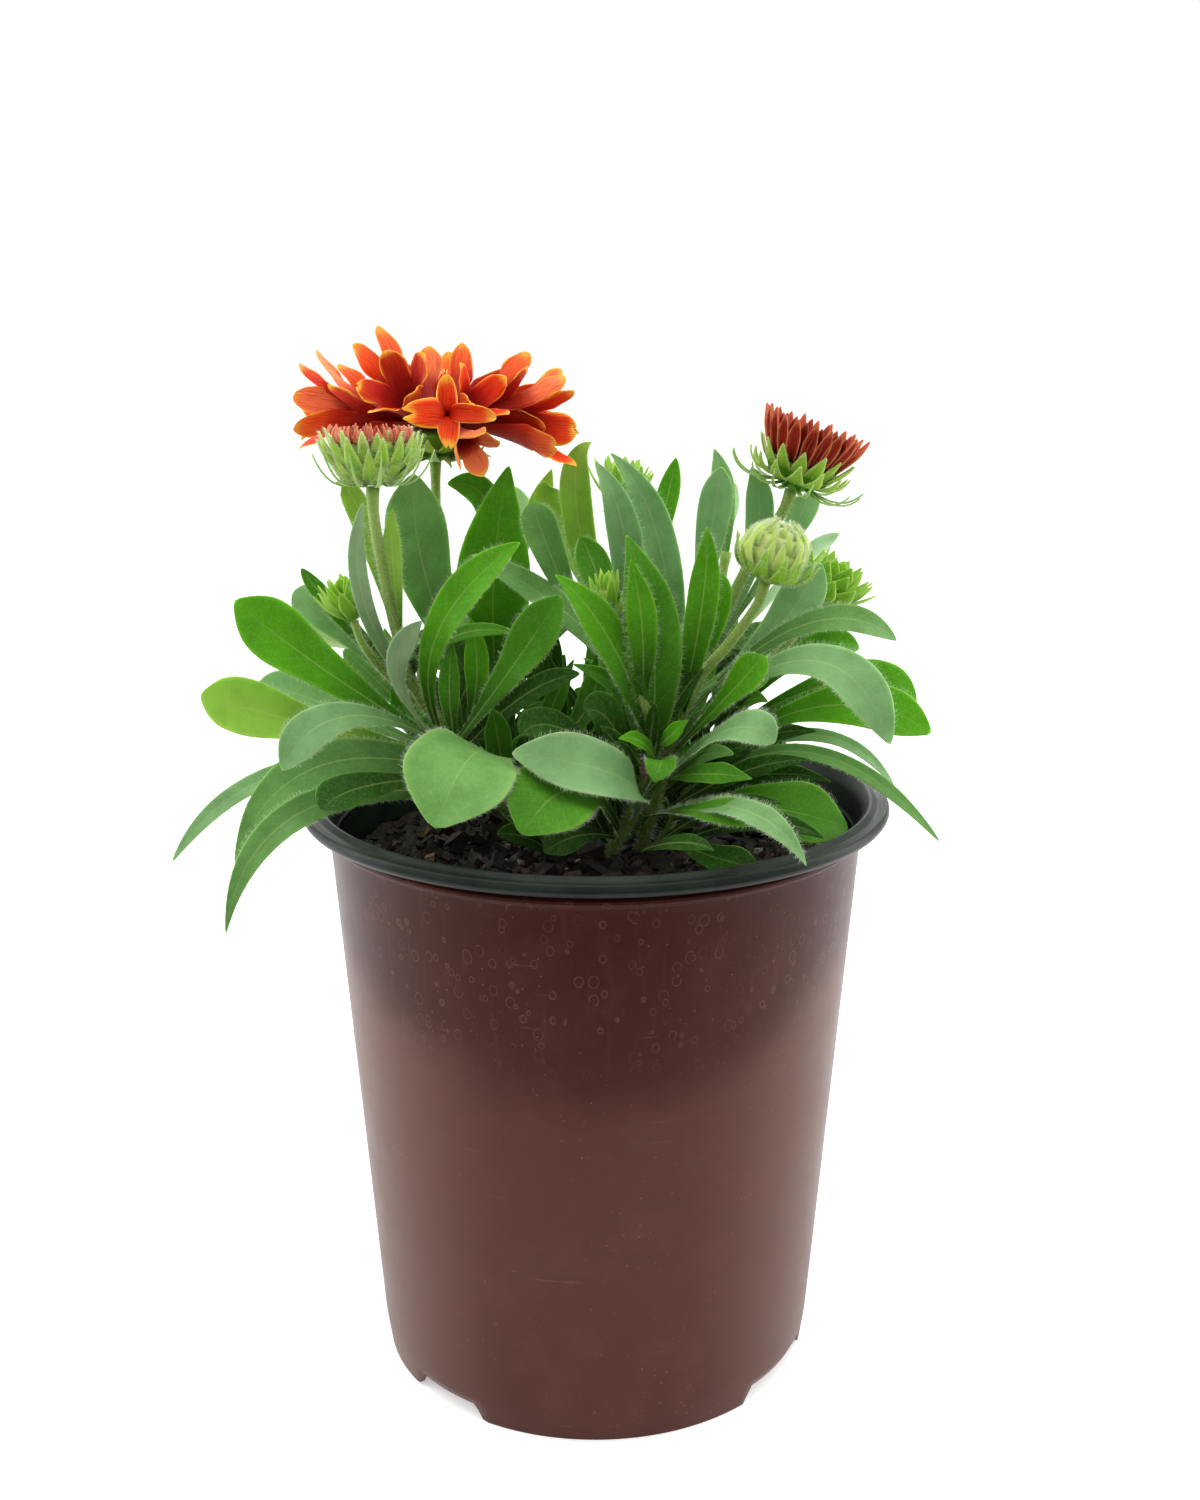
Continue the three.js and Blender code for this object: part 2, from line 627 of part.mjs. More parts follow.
// A round bud: a core under two rows of hugging bracts and a few that spread.
function roundBud({ radius, height, count, spread, seed }) {
  const core = [[0, 0], [0.3, 0], [0.86, 0.24], [0.92, 0.56], [0.6, 0.86], [0, 0.97]];
  return fuse([
    turnedProfile(core.map(([r, z]) => [r * radius, z * height]), count),
    ...bladeRing({
      count, start: 180 / count, root: [0.5 * radius, 0.12 * height], over: [1.12 * radius, 0.34 * height],
      tip: [1.02 * radius, 0.86 * height], width: 0.64 * radius, seed,
    }),
    ...bladeRing({
      count, root: [0.8 * radius, 0.36 * height], over: [0.96 * radius, 0.72 * height],
      tip: [0.42 * radius, 1.06 * height], width: 0.52 * radius, seed: seed + 1,
    }),
    ...bladeRing({
      count: spread, start: 10, root: [0.4 * radius, 0.1 * height], over: [1.15 * radius, 0.3 * height],
      tip: [1.5 * radius, 0.84 * height], width: 0.4 * radius, seed: seed + 2, jitter: 0.12,
    }),
  ]);
}

// A young bud, a star of pointed bracts round a small core.
function starBud({ radius, height, count, seed }) {
  const core = [[0, 0], [0.26, 0], [0.5, 0.3], [0.34, 0.66], [0, 0.74]];
  return fuse([
    turnedProfile(core.map(([r, z]) => [r * radius, z * height]), count),
    ...bladeRing({
      count, start: 180 / count, root: [0.2 * radius, 0.08 * height], over: [0.74 * radius, 0.36 * height],
      tip: [1.1 * radius, 0.86 * height], width: 0.46 * radius, seed, jitter: 0.12,
    }),
    ...bladeRing({
      count: count - 1, start: 20, root: [0.24 * radius, 0.3 * height], over: [0.46 * radius, 0.66 * height],
      tip: [0.5 * radius, 1.05 * height], width: 0.42 * radius, seed: seed + 1, jitter: 0.12,
    }),
  ]);
}

// ---- the open bloom -------------------------------------------------------

// Its fluted rays: azimuth and elevation of each tube, its length, how far the lobes open
// from the tube's line, their length, the turn of the lobes about the tube and the radius of
// its mouth. A split flute lacks the first of its lobes.
const flutes = [
  { azimuth: -79, elevation: 15, length: 20, flare: 66, lobe: 14.5, turn: 90, mouth: 3.4, lobes: 5 },
  { azimuth: -16, elevation: 1, length: 21, flare: 24, lobe: 12.5, turn: 225, mouth: 6, lobes: 5, split: true },
  { azimuth: -54, elevation: -8, length: 12, flare: 20, lobe: 9, turn: 30, mouth: 4.2 },
  { azimuth: 0, elevation: 18, length: 14, flare: 40, lobe: 11, turn: 225, mouth: 5.6, lobes: 5, split: true },
  { azimuth: 14, elevation: 12, length: 20, flare: 26, lobe: 12.5, turn: 50, mouth: 4.8 },
  { azimuth: 34, elevation: 25, length: 15, flare: 18, lobe: 14, turn: 20, mouth: 4.2 },
  { azimuth: 66, elevation: 31, length: 12, flare: 24, lobe: 10, turn: 0, mouth: 5.4 },
  { azimuth: 82, elevation: 8, length: 18, flare: 36, lobe: 14, turn: 30, mouth: 4.8, lobes: 3 },
  { azimuth: 104, elevation: 37, length: 13, flare: 14, lobe: 9, turn: 10, mouth: 3.8 },
  { azimuth: 135, elevation: 41, length: 15, flare: 6, lobe: 13.5, turn: 0, mouth: 3.8 },
  { azimuth: 150, elevation: 12, length: 17, flare: 24, lobe: 12, turn: 60, mouth: 4, lobes: 3 },
  { azimuth: 166, elevation: 9, length: 20, flare: 28, lobe: 13, turn: 10, mouth: 5.6 },
  { azimuth: 188, elevation: 7, length: 20, flare: 30, lobe: 13, turn: 135, mouth: 6, lobes: 5, split: true },
  { azimuth: 210, elevation: 1, length: 14, flare: 30, lobe: 10, turn: 135, mouth: 5.6, lobes: 5, split: true },
  { azimuth: 238, elevation: 46, length: 12, flare: 34, lobe: 8.5, turn: 0, mouth: 6, lobes: 5 },
  { azimuth: -38, elevation: 44, length: 9, flare: 34, lobe: 9, turn: 20, mouth: 4.4 },
  { azimuth: 116, elevation: -1, length: 18, flare: 38, lobe: 14, turn: 40, mouth: 4.8, lobes: 3 },
  { azimuth: 50, elevation: 2, length: 19, flare: 38, lobe: 14, turn: 0, mouth: 4.8, lobes: 3 },
];
const FLUTE_ROOT = 6.8;
const FLUTE_Z = 10.4;
const FLUTE_RADII = [1.5, 2.6];
const FLUTE_SHARES = [0, 0.5, 1];
const LOBE_WIDTH = 8.2;
const LOBE_WIDEST = 0.55;

// One fluted ray along +Z: a widening tube with a side for each lobe that it opens into.
function fluteGeometry({ length, flare, lobe, mouth, lobes = 4, split = false }) {
  const radii = [...FLUTE_RADII, mouth];
  const points = [];
  const faces = [];
  const add = (point) => points.push(point) - 1;
  const ring = (station, inset) => {
    const list = [];
    for (let side = 0; side < lobes; side += 1) {
      const angle = (Math.PI * (2 * side - 1)) / lobes;
      list.push(add(vector(polar(radii[station] - inset, angle, FLUTE_SHARES[station] * length))));
    }
    return list;
  };
  const rootRing = ring(0, 0);
  const outer = ring(2, 0);
  const floor = ring(1, RAY_WALL);
  const inner = ring(2, RAY_WALL);
  const quad = (a, b, c, d) => faces.push([a, b, c], [a, c, d]);
  for (let side = 0; side < lobes; side += 1) {
    const next = (side + 1) % lobes;
    quad(rootRing[side], rootRing[next], outer[next], outer[side]);
    quad(floor[next], floor[side], inner[side], inner[next]);
  }
  for (let side = 1; side < lobes - 1; side += 1) {
    faces.push([rootRing[0], rootRing[side + 1], rootRing[side]]);
    faces.push([floor[0], floor[side], floor[side + 1]]);
  }
  const open = radians(flare);
  for (let left = 0; left < lobes; left += 1) {
    const right = (left + 1) % lobes;
    if (split && left === 0) {
      quad(outer[left], outer[right], inner[right], inner[left]);
      continue;
    }
    const angle = (2 * Math.PI * left) / lobes;
    const base = points[outer[left]].clone().add(points[outer[right]]).multiplyScalar(0.5);
    const along = vector(polar(Math.sin(open), angle, Math.cos(open)));
    const behind = vector(polar(Math.cos(open), angle, -Math.sin(open)));
    const across = vector(polar(1, angle + Math.PI / 2, 0));
    const pair = (forward, side, lift) => {
      const back = base.clone().addScaledVector(along, forward * lobe);
      back.addScaledVector(across, (side * LOBE_WIDTH) / 2).addScaledVector(behind, lift);
      return [add(back), add(back.clone().addScaledVector(behind, -RAY_WALL))];
    };
    const leftEdge = pair(LOBE_WIDEST, -1, -0.3);
    const rightEdge = pair(LOBE_WIDEST, 1, -0.3);
    const tip = pair(1, 0, 0.9);
    const back = [outer[left], outer[right], leftEdge[0], rightEdge[0], tip[0]];
    const front = [inner[left], inner[right], leftEdge[1], rightEdge[1], tip[1]];
    quad(back[0], back[1], back[3], back[2]);
    faces.push([back[2], back[3], back[4]]);
    faces.push([front[0], front[3], front[1]], [front[0], front[2], front[3]]);
    faces.push([front[2], front[4], front[3]]);
    for (const [from, to] of [[0, 2], [2, 4], [4, 3], [3, 1]]) {
      quad(back[from], back[to], front[to], front[from]);
    }
  }
  return faceted(points, faces);
}

function flute(plan) {
  const geometry = fluteGeometry(plan);
  geometry.rotateZ(radians(plan.turn));
  geometry.rotateY(radians(90 - plan.elevation));
  geometry.translate(FLUTE_ROOT, 0, FLUTE_Z);
  geometry.rotateZ(radians(plan.azimuth));
  return solid(geometry);
}

const bloomRays = () => fuse([rayRing(5.8, 8.4, 9.4, 11.6), ...flutes.map(flute)]);

function bloomGreen() {
  return fuse([
    turnedProfile([[0, 0], [2.8, 0], [8.4, 4], [9, 8], [0, 9]], HEAD_SIDES),
    ...bladeRing({
      count: 12, start: 15, root: [5.6, 3.6], over: [11, 4], tip: [13.2, 7], width: 4.6, seed: 21,
    }),
    ...bladeRing({
      count: 6, start: 22, root: [4, 2], over: [11, 1.6], tip: [15, 0.2], width: 2.2, seed: 22, jitter: 0.08,
      face: 90,
    }),
  ]);
}

// ---- the whole plant ------------------------------------------------------

// A head's mesh, built upright at its own base and then seated on its stem.
function seated(name, body, material, { place, axis }) {
  const mesh = named(name, body, material);
  mesh.position.set(...place);
  mesh.quaternion.setFromUnitVectors(new THREE.Vector3(0, 0, 1), vector(axis).normalize());
  return mesh;
}

const plant = new THREE.Group();

plant.add(named("nursery_pot", nurseryPot(), finishes.pot()));
plant.add(named("potting_mix", pottingMix(), finishes.soil()));
for (const [name, plan] of Object.entries(shoots)) plant.add(named(name, shoot(plan), finishes.leaf()));

plant.add(seated("bloom_bracts", bloomGreen(), finishes.bract(), heads.bloom));
plant.add(seated("bloom_rays", bloomRays(), finishes.ray(), heads.bloom));
plant.add(seated("bloom_disc", floretDome(5.4, 9.35, 4.4), finishes.disc(), heads.bloom));
plant.add(seated("closed_head_bracts", closedHeadGreen(), finishes.bract(), heads.closed));
plant.add(seated("closed_head_ray_tips", closedHeadTips(), finishes.tip(), heads.closed));
plant.add(seated("open_head_bracts", openHeadGreen(), finishes.bract(), heads.open));
plant.add(seated("open_head_rays", openHeadRays(), finishes.youngRay(), heads.open));
plant.add(seated("open_head_disc", floretDome(7.2, 7.55, 4.6), finishes.disc(), heads.open));

const budPlans = {
  right_bud: [heads.bud, roundBud({ radius: 8.6, height: 16, count: 8, spread: 4, seed: 31 })],
  far_right_bud: [heads.starBud, starBud({ radius: 10, height: 13, count: 8, seed: 41 })],
  centre_bud: [heads.centreBud, starBud({ radius: 5, height: 12.5, count: 6, seed: 51 })],
  small_left_bud: [heads.smallBud, starBud({ radius: 7, height: 12, count: 6, seed: 61 })],
  rear_bud: [heads.rearBud, starBud({ radius: 9, height: 12, count: 7, seed: 71 })],
};
for (const [name, [head, body]] of Object.entries(budPlans)) {
  plant.add(seated(name, body, finishes.bract(), head));
}

export default plant;
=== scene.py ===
"""Looks of a potted blanket flower: a brown nursery pot, its potting mix, and a plant of ten leafy
stems with one open bloom, two opening heads and five buds.

Shapes are worked out with numpy in millimetres, +Z up and -Y to the front, and go into the shared
frame in metres. Each piece stands for the solid of the same name.
"""

import logging
import math
from collections.abc import Iterable
from dataclasses import dataclass, field, replace
from enum import Enum

import bmesh
import bpy
import numpy as np
from numpy.typing import NDArray
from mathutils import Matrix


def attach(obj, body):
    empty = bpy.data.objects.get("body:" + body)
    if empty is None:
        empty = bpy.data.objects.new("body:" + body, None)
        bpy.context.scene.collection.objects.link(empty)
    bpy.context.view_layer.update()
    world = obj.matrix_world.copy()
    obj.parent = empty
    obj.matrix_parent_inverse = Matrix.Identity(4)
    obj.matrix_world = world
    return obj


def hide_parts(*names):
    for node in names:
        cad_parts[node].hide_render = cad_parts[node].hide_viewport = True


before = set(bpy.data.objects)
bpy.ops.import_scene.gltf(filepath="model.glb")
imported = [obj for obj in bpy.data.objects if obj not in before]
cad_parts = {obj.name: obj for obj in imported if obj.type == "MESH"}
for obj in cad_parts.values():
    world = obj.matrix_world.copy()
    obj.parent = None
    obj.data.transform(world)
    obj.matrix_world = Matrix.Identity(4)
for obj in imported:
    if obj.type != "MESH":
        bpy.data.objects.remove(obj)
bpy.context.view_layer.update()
log = logging.getLogger("blanket_flower")

Array = NDArray[np.float64]
Indices = NDArray[np.int64]
Dice = np.random.Generator
Place = tuple[float, float, float] | Array
Span = tuple[float, float]
Tint = tuple[int, int, int]

MM = 0.001
FRONT: Place = (0.0, -0.78, 0.62)
BACK: Place = (0.0, 0.6, 0.8)
UP: Place = (0.0, 0.0, 1.0)
GAP = 0.35
SOIL_Z = 147
ROOT_DEPTH = 12
WELD_M = 1e-6
HAIR_RADIUS = 0.028
HAIR_TINT: Tint = (226, 236, 212)
HEAD_HAIR_RADIUS = 0.034
HEAD_HAIR_TINT: Tint = (236, 244, 214)
FLORET_GUIDE: Place = (0.31, 0.52, 0.19)


# ---- small helpers ----


def linear(tint: Tint) -> Array:
    """Turn a screen colour, 0 to 255, into light by undoing the sRGB curve."""
    share = np.asarray(tint, float) / 255
    return np.where(share <= 0.04045, share / 12.92, ((share + 0.055) / 1.055) ** 2.4)


def paint(tint: Tint) -> tuple[float, ...]:
    """Give a screen colour as the four numbers of a shader's colour socket."""
    return *(float(part) for part in linear(tint)), 1


def unit(vectors: Array) -> Array:
    """Scale vectors along the last axis to a length of one."""
    return vectors / np.maximum(np.linalg.norm(vectors, axis=-1, keepdims=True), 1e-12)


def turned(vectors: Array, axis: Place, angle: Array | float) -> Array:
    """Turn vectors about unit axes: v cos a + (axis x v) sin a + axis (axis . v) (1 - cos a)."""
    along = axis * np.sum(axis * vectors, axis=-1, keepdims=True)
    return vectors * np.cos(angle) + np.cross(axis, vectors) * np.sin(angle) + along * (1 - np.cos(angle))


def crosswise(ways: Array, guide: Place) -> tuple[Array, Array]:
    """Give two unit directions square to each way and to each other, the first also to the guide."""
    first = unit(np.cross(ways, guide))
    return first, np.cross(ways, first)


def eased(share: Array | float) -> Array:
    """Ease a share from 0 to 1 by 3s^2 - 2s^3, held at both ends."""
    held = np.clip(share, 0, 1)
    return held * held * (3 - 2 * held)


def mixed(first: Array, second: Array, share: Array) -> Array:
    """Go a share of the way from the first colour or place to the second."""
    return first + (second - first) * np.asarray(share)[..., None]


def polar(radius: Array | float, angle: Array | float, z: Array | float) -> Array:
    """Places at a radius and height, turned round the Z axis."""
    radius, angle, z = np.broadcast_arrays(radius, angle, z)
    return np.stack([radius * np.cos(angle), radius * np.sin(angle), z], axis=-1).astype(float)


def circle(sides: int) -> Array:
    """The angles of a round body's sides, as one row."""
    return np.linspace(0, 2 * np.pi, sides, endpoint=False)[None, :]


def read(share: Array | float, knots: Array, rows: Array) -> Array:
    """Read rows of three numbers at shares between their knots."""
    return np.stack([np.interp(share, knots, rows[:, k]) for k in range(3)], axis=-1)


def stand(name: str, data: bpy.types.ID) -> bpy.types.Object:
    """Put a mesh, light or camera into the scene.

    Args:
        name: the object's name.
        data: what it shows.

    Returns:
        The object.
    """
    thing = bpy.data.objects.new(name, data)
    bpy.context.scene.collection.objects.link(thing)
    return thing


@dataclass
class Draws:
    """Repeatable draws between -1 and 1, from a whole number."""

    state: int

    FACTOR = 16807
    ROUND = 2147483647

    def next(self) -> float:
        """Give the next draw."""
        self.state = self.state * self.FACTOR % self.ROUND
        return 2 * self.state / self.ROUND - 1


# ---- meshes under way ----


def grid_faces(rows: int, columns: int, ring: bool = False) -> Indices:
    """Quads of a grid, row by row, facing along (column step) x (row step).

    Args:
        rows: number of rows.
        columns: number of places in a row.
        ring: whether the last column joins the first.

    Returns:
        The corner numbers, four to a quad.
    """
    column = np.arange(columns if ring else columns - 1)
    after = (column + 1) % columns
    start = np.arange(rows - 1)[:, None] * columns
    corners = [start + column, start + after, start + columns + after, start + columns + column]
    return np.stack(corners, axis=-1).reshape(-1, 4)


@dataclass(frozen=True)
class Perch:
    """Where a head sits, in mm, and which way it faces."""

    place: Place
    axis: Place

    NECK_LENGTH = 7

    def neck(self) -> list[Place]:
        """Give the end of the stem under the head: two places down its axis."""
        way = unit(np.array(self.axis))
        return [np.array(self.place) - way * distance for distance in (self.NECK_LENGTH, GAP)]

    def turn(self) -> Array:
        """Give the matrix that tips +Z over to the axis by the shortest way.

        It is I + K + K K / (1 + c), with K the cross matrix of z x axis and c their dot.

        Returns:
            The matrix.
        """
        x, y, z = unit(np.array(self.axis, float))
        cross = np.array([[0, 0, x], [0, 0, y], [-x, -y, 0]])
        return np.eye(3) + cross + cross @ cross / (1 + z)


@dataclass
class Skin:
    """A mesh under way: places in mm, faces, and a colour and a chart at each place.

    The chart holds mm across from the midrib, mm along from the root, and the share of the
    blade's length, or -1 off the blades.
    """

    places: Array
    faces: Indices
    tint: Array
    chart: Array

    OFF_BLADE = (0, 0, -1)

    @classmethod
    def plain(cls, places: Array, faces: Indices, tint: Array) -> "Skin":
        """Make a skin off the blades.

        Args:
            places: its places, on a grid of any shape.
            faces: its corner numbers.
            tint: one colour for all of it, or one for each place.

        Returns:
            The skin.
        """
        places = places.reshape(-1, 3)
        tint = np.tile(tint, (len(places), 1)) if tint.ndim == 1 else tint.reshape(-1, 3)
        return cls(places, faces, tint, np.tile(cls.OFF_BLADE, (len(places), 1)))

    @classmethod
    def thin(
        cls, top: Array, bottom: Array, tints: tuple[Array, Array], chart: tuple[Array, ...]
    ) -> "Skin":
        """Close a thin blade of two sheets on one grid, which meet at the border once welded.

        Args:
            top: places of the sheet that faces along (column step) x (row step).
            bottom: places of the other sheet.
            tints: the colours of the two.
            chart: the three parts of the chart, on the grid.

        Returns:
            The closed blade.
        """
        faces = grid_faces(*top.shape[:2])
        chart = np.stack(np.broadcast_arrays(*chart), -1).reshape(-1, 3)
        return cls(
            np.concatenate([top.reshape(-1, 3), bottom.reshape(-1, 3)]),
            np.concatenate([faces, faces[:, ::-1] + len(chart)]),
            np.concatenate([tint.reshape(-1, 3) for tint in tints]),
            np.concatenate([chart, chart]),
        )

    @staticmethod
    def joined(parts: Iterable["Skin"]) -> "Skin":
        """Put several skins of like faces into one.

        Args:
            parts: the skins.

        Returns:
            One skin of them all.
        """
        parts = list(parts)
        starts = np.cumsum([0] + [len(part.places) for part in parts[:-1]])
        faces = np.concatenate([part.faces + start for part, start in zip(parts, starts)])
        places, tint, chart = (
            np.concatenate([getattr(part, name) for part in parts]) for name in ("places", "tint", "chart")
        )
        return Skin(places, faces, tint, chart)

    def seated(self, seat: Perch) -> "Skin":
        """Move the skin from a head's own frame to its seat on the plant."""
        return replace(self, places=self.places @ seat.turn().T + np.array(seat.place))

    def mesh(self, name: str, weld: bool, smooth: bool = True) -> bpy.types.Mesh:
        """Put the skin into a Blender mesh, in metres.

        Args:
            name: the mesh's name.
            weld: whether places that meet are made one, which closes seams and poles.
            smooth: whether the faces are shaded round.

        Returns:
            The finished mesh.
        """
        mesh = bpy.data.meshes.new(name)
        mesh.vertices.add(len(self.places))
        mesh.vertices.foreach_set("co", (self.places * MM).astype(np.float32).ravel())
        mesh.loops.add(self.faces.size)
        mesh.loops.foreach_set("vertex_index", self.faces.astype(np.int32).ravel())
        mesh.polygons.add(len(self.faces))
        starts = np.arange(0, self.faces.size, self.faces.shape[1], dtype=np.int32)
        mesh.polygons.foreach_set("loop_start", starts)
        tint = mesh.attributes.new("tint", "FLOAT_COLOR", "POINT")
        alpha = np.ones((len(self.places), 1))
        tint.data.foreach_set("color", np.hstack([self.tint, alpha]).astype(np.float32).ravel())
        chart = mesh.attributes.new("chart", "FLOAT_VECTOR", "POINT")
        chart.data.foreach_set("vector", self.chart.astype(np.float32).ravel())
        mesh.update(calc_edges=True)
        if weld:
            work = bmesh.new()
            work.from_mesh(mesh)
            bmesh.ops.remove_doubles(work, verts=work.verts, dist=WELD_M)
            work.to_mesh(mesh)
            work.free()
        if smooth:
            mesh.shade_smooth()
        else:
            mesh.shade_flat()
        return mesh


def turned_body(profile: Iterable[Span], tints: list[Tint] | Tint, sides: int = 32, waist: int = 5) -> Skin:
    """Turn a profile of (radius, height) in mm round the Z axis, with a colour at each point.

    Args:
        profile: the points, from the foot on the axis to the top on the axis.
        tints: a screen colour for each point, or one for all.
        sides: how many sides.
        waist: how many rings stand for each stretch of the profile.

    Returns:
        The turned body.
    """
    points = np.array(profile, float)
    colours = linear(np.broadcast_to(tints, (len(points), 3)))
    knots = np.arange(len(points))
    share = np.linspace(0, len(points) - 1, (len(points) - 1) * waist + 1)
    radius, height = (np.interp(share, knots, points[:, k]) for k in (0, 1))
    places = polar(radius[:, None], circle(sides), height[:, None])
    tint = np.repeat(read(share, knots, colours), sides, axis=0)
    return Skin.plain(places, grid_faces(len(share), sides, ring=True), tint)


# ---- pot and potting mix ----


@dataclass(frozen=True)
class NurseryPot:
    """The thin moulded pot. Lengths in mm, angles in degrees."""

    rim_radius: float = 82.5
    rim_z: float = 167.0
    neck_radius: float = 74.3
    neck_z: float = 153.0
    crease_radius: float = 63.4
    crease_z: float = 9.5
    foot_radius: float = 62.0
    wall: float = 1.4
    floor_radius: float = 48.0
    floor_step: float = 4.9
    floor_thickness: float = 1.9
    notch_height: float = 4.6
    notch_slant: float = 3.0
    notches: tuple[Span, ...] = ((-132, 22), (-31, 31), (62, 26), (140, 26))
    drains: int = 6
    drain_radius: float = 3.5
    drain_circle: float = 55.0
    drain_heights: Span = (2.9, 8.9)
    sides: int = 240

    TINT = (90, 58, 50)

    @property
    def slope(self) -> float:
        """How much the wall widens for each mm of height."""
        return (self.neck_radius - self.crease_radius) / (self.neck_z - self.crease_z)

    def inner_radius(self, z: float) -> float:
        """Radius of the inside of the wall at a height."""
        return self.crease_radius + (z - self.crease_z) * self.slope - self.wall

    def profile(self) -> tuple[Array, Array]:
        """Give the section from the middle of the base, up the outside and down the inside.

        Returns:
            The points (radius, height) and the radius by which each corner is rounded.
        """
        rim, top, neck, neck_z = self.rim_radius, self.rim_z, self.neck_radius, self.neck_z
        inner, floor = self.inner_radius, self.floor_radius
        rows = [
            (0, 0, 0), (floor, 0, 0.6), (floor + 1.5, self.floor_step, 0.8),
            (self.foot_radius - 2.2, self.floor_step + 0.3, 0.5), (self.foot_radius - self.wall, 0, 0.3),
            (self.foot_radius, 0, 0.4), (self.crease_radius, self.crease_z, 3),
            (neck, neck_z, 3), (neck + 0.5, top - 9.2, 0.4), (neck + 1.8, top - 8.5, 0.5),
            (neck + 1.8, top - 7.3, 0.5), (neck + 0.7, top - 6.6, 0.4), (neck + 0.9, top - 4.7, 0.5),
            (rim - 1.2, top - 4.6, 0.8), (rim, top - 2.9, 1.1), (rim - 0.9, top - 0.9, 0.9),
            (rim - 3.3, top - 1.7, 1.2), (rim - 5.6, top, 0.9), (rim - 7.9, top - 3.4, 1.4),
            (inner(neck_z + 4), neck_z + 4, 0.6), (inner(neck_z + 3) - 0.5, neck_z + 3.2, 0.3),
            (inner(neck_z + 2), neck_z + 2.4, 0.5), (inner(self.crease_z + 1.5), self.crease_z + 1.5, 2),
            (floor + 2.5, self.floor_step + self.floor_thickness, 1),
            (floor + 0.8, self.floor_thickness, 0.6), (0, self.floor_thickness, 0),
        ]
        table = np.array(rows, float)
        return table[:, :2], table[:, 2]

    def rounded(self) -> Array:
        """Round the section's corners: each becomes a parabola between points on its two sides.

        Returns:
            The section's line, with the same ends.
        """
        points, rounding = self.profile()
        line = [points[0]]
        share = np.linspace(0, 1, 6)[:, None]
        for before, corner, after, radius in zip(points, points[1:], points[2:], rounding[1:]):
            back, on = before - corner, after - corner
            back_length, on_length = np.linalg.norm(back), np.linalg.norm(on)
            cut = min(radius, 0.45 * back_length, 0.45 * on_length)
            start, end = corner + back / back_length * cut, corner + on / on_length * cut
            line.append((1 - share) ** 2 * start + 2 * share * (1 - share) * corner + share**2 * end)
        line.append(points[-1])
        return np.vstack(line)

    def skin(self) -> Skin:
        """Turn the section, with the foot's skirt lifted over each drain notch.

        The lift is the notch's height, sloping down over its slant on both sides.

        Returns:
            The pot, without its drain holes.
        """
        line = self.rounded()
        wall_steps = np.linspace(0, 1, 14)[1:-1, None]
        outer = int(np.argmax((line[:-1, 1] < self.crease_z + 5) & (line[1:, 1] > self.neck_z - 5)))
        extra = line[outer] + (line[outer + 1] - line[outer]) * wall_steps
        line = np.vstack([line[: outer + 1], extra, line[outer + 1 :]])
        angle = circle(self.sides)[0]
        lift = np.zeros(self.sides)
        for azimuth, width in self.notches:
            off = np.abs((angle - math.radians(azimuth) + np.pi) % (2 * np.pi) - np.pi)
            beyond = off * self.foot_radius - math.radians(width / 2) * self.foot_radius
            lift = np.maximum(lift, self.notch_height * np.clip(0.5 - beyond / self.notch_slant, 0, 1))
        skirt = (line[:, 0] > self.foot_radius - 2.4) & (line[:, 1] < self.notch_height + 0.2)
        z = np.where(skirt[:, None], np.maximum(line[:, 1:2], lift[None, :]), line[:, 1:2])
        places = polar(line[:, :1], angle[None, :], z)
        return Skin.plain(places, grid_faces(len(line), self.sides, ring=True), linear(self.TINT))

    def drill(self, pot: bpy.types.Object) -> None:
        """Cut the drain holes through the raised ring of the floor.

        Args:
            pot: the pot in the frame.
        """
        low, high = self.drain_heights
        cutters = []
        for index in range(self.drains):
            angle = math.radians(15 + 360 / self.drains * index)
            profile = [(0, low), (self.drain_radius, low), (self.drain_radius, high), (0, high)]
            hole = turned_body(profile, (0, 0, 0), sides=24, waist=1)
            hole.places = hole.places + polar(self.drain_circle, angle, 0)
            cutters.append(hole)
        cutter = stand("drain_cutter", Skin.joined(cutters).mesh("drain_cutter", True))
        cut = pot.modifiers.new("drains", "BOOLEAN")
        cut.operation = "DIFFERENCE"
        cut.solver = "EXACT"
        cut.object = cutter
        bpy.context.view_layer.update()
        solid = bpy.data.meshes.new_from_object(pot.evaluated_get(bpy.context.evaluated_depsgraph_get()))
        pot.modifiers.clear()
        pot.data = solid
        bpy.data.objects.remove(cutter)

    def add(self, nursery: "Nursery") -> None:
        """Add the pot, with its drain holes."""
        self.drill(nursery.place("nursery_pot_shell", self.skin(), Finish.POT_PLASTIC, node="nursery_pot"))


POT = NurseryPot()


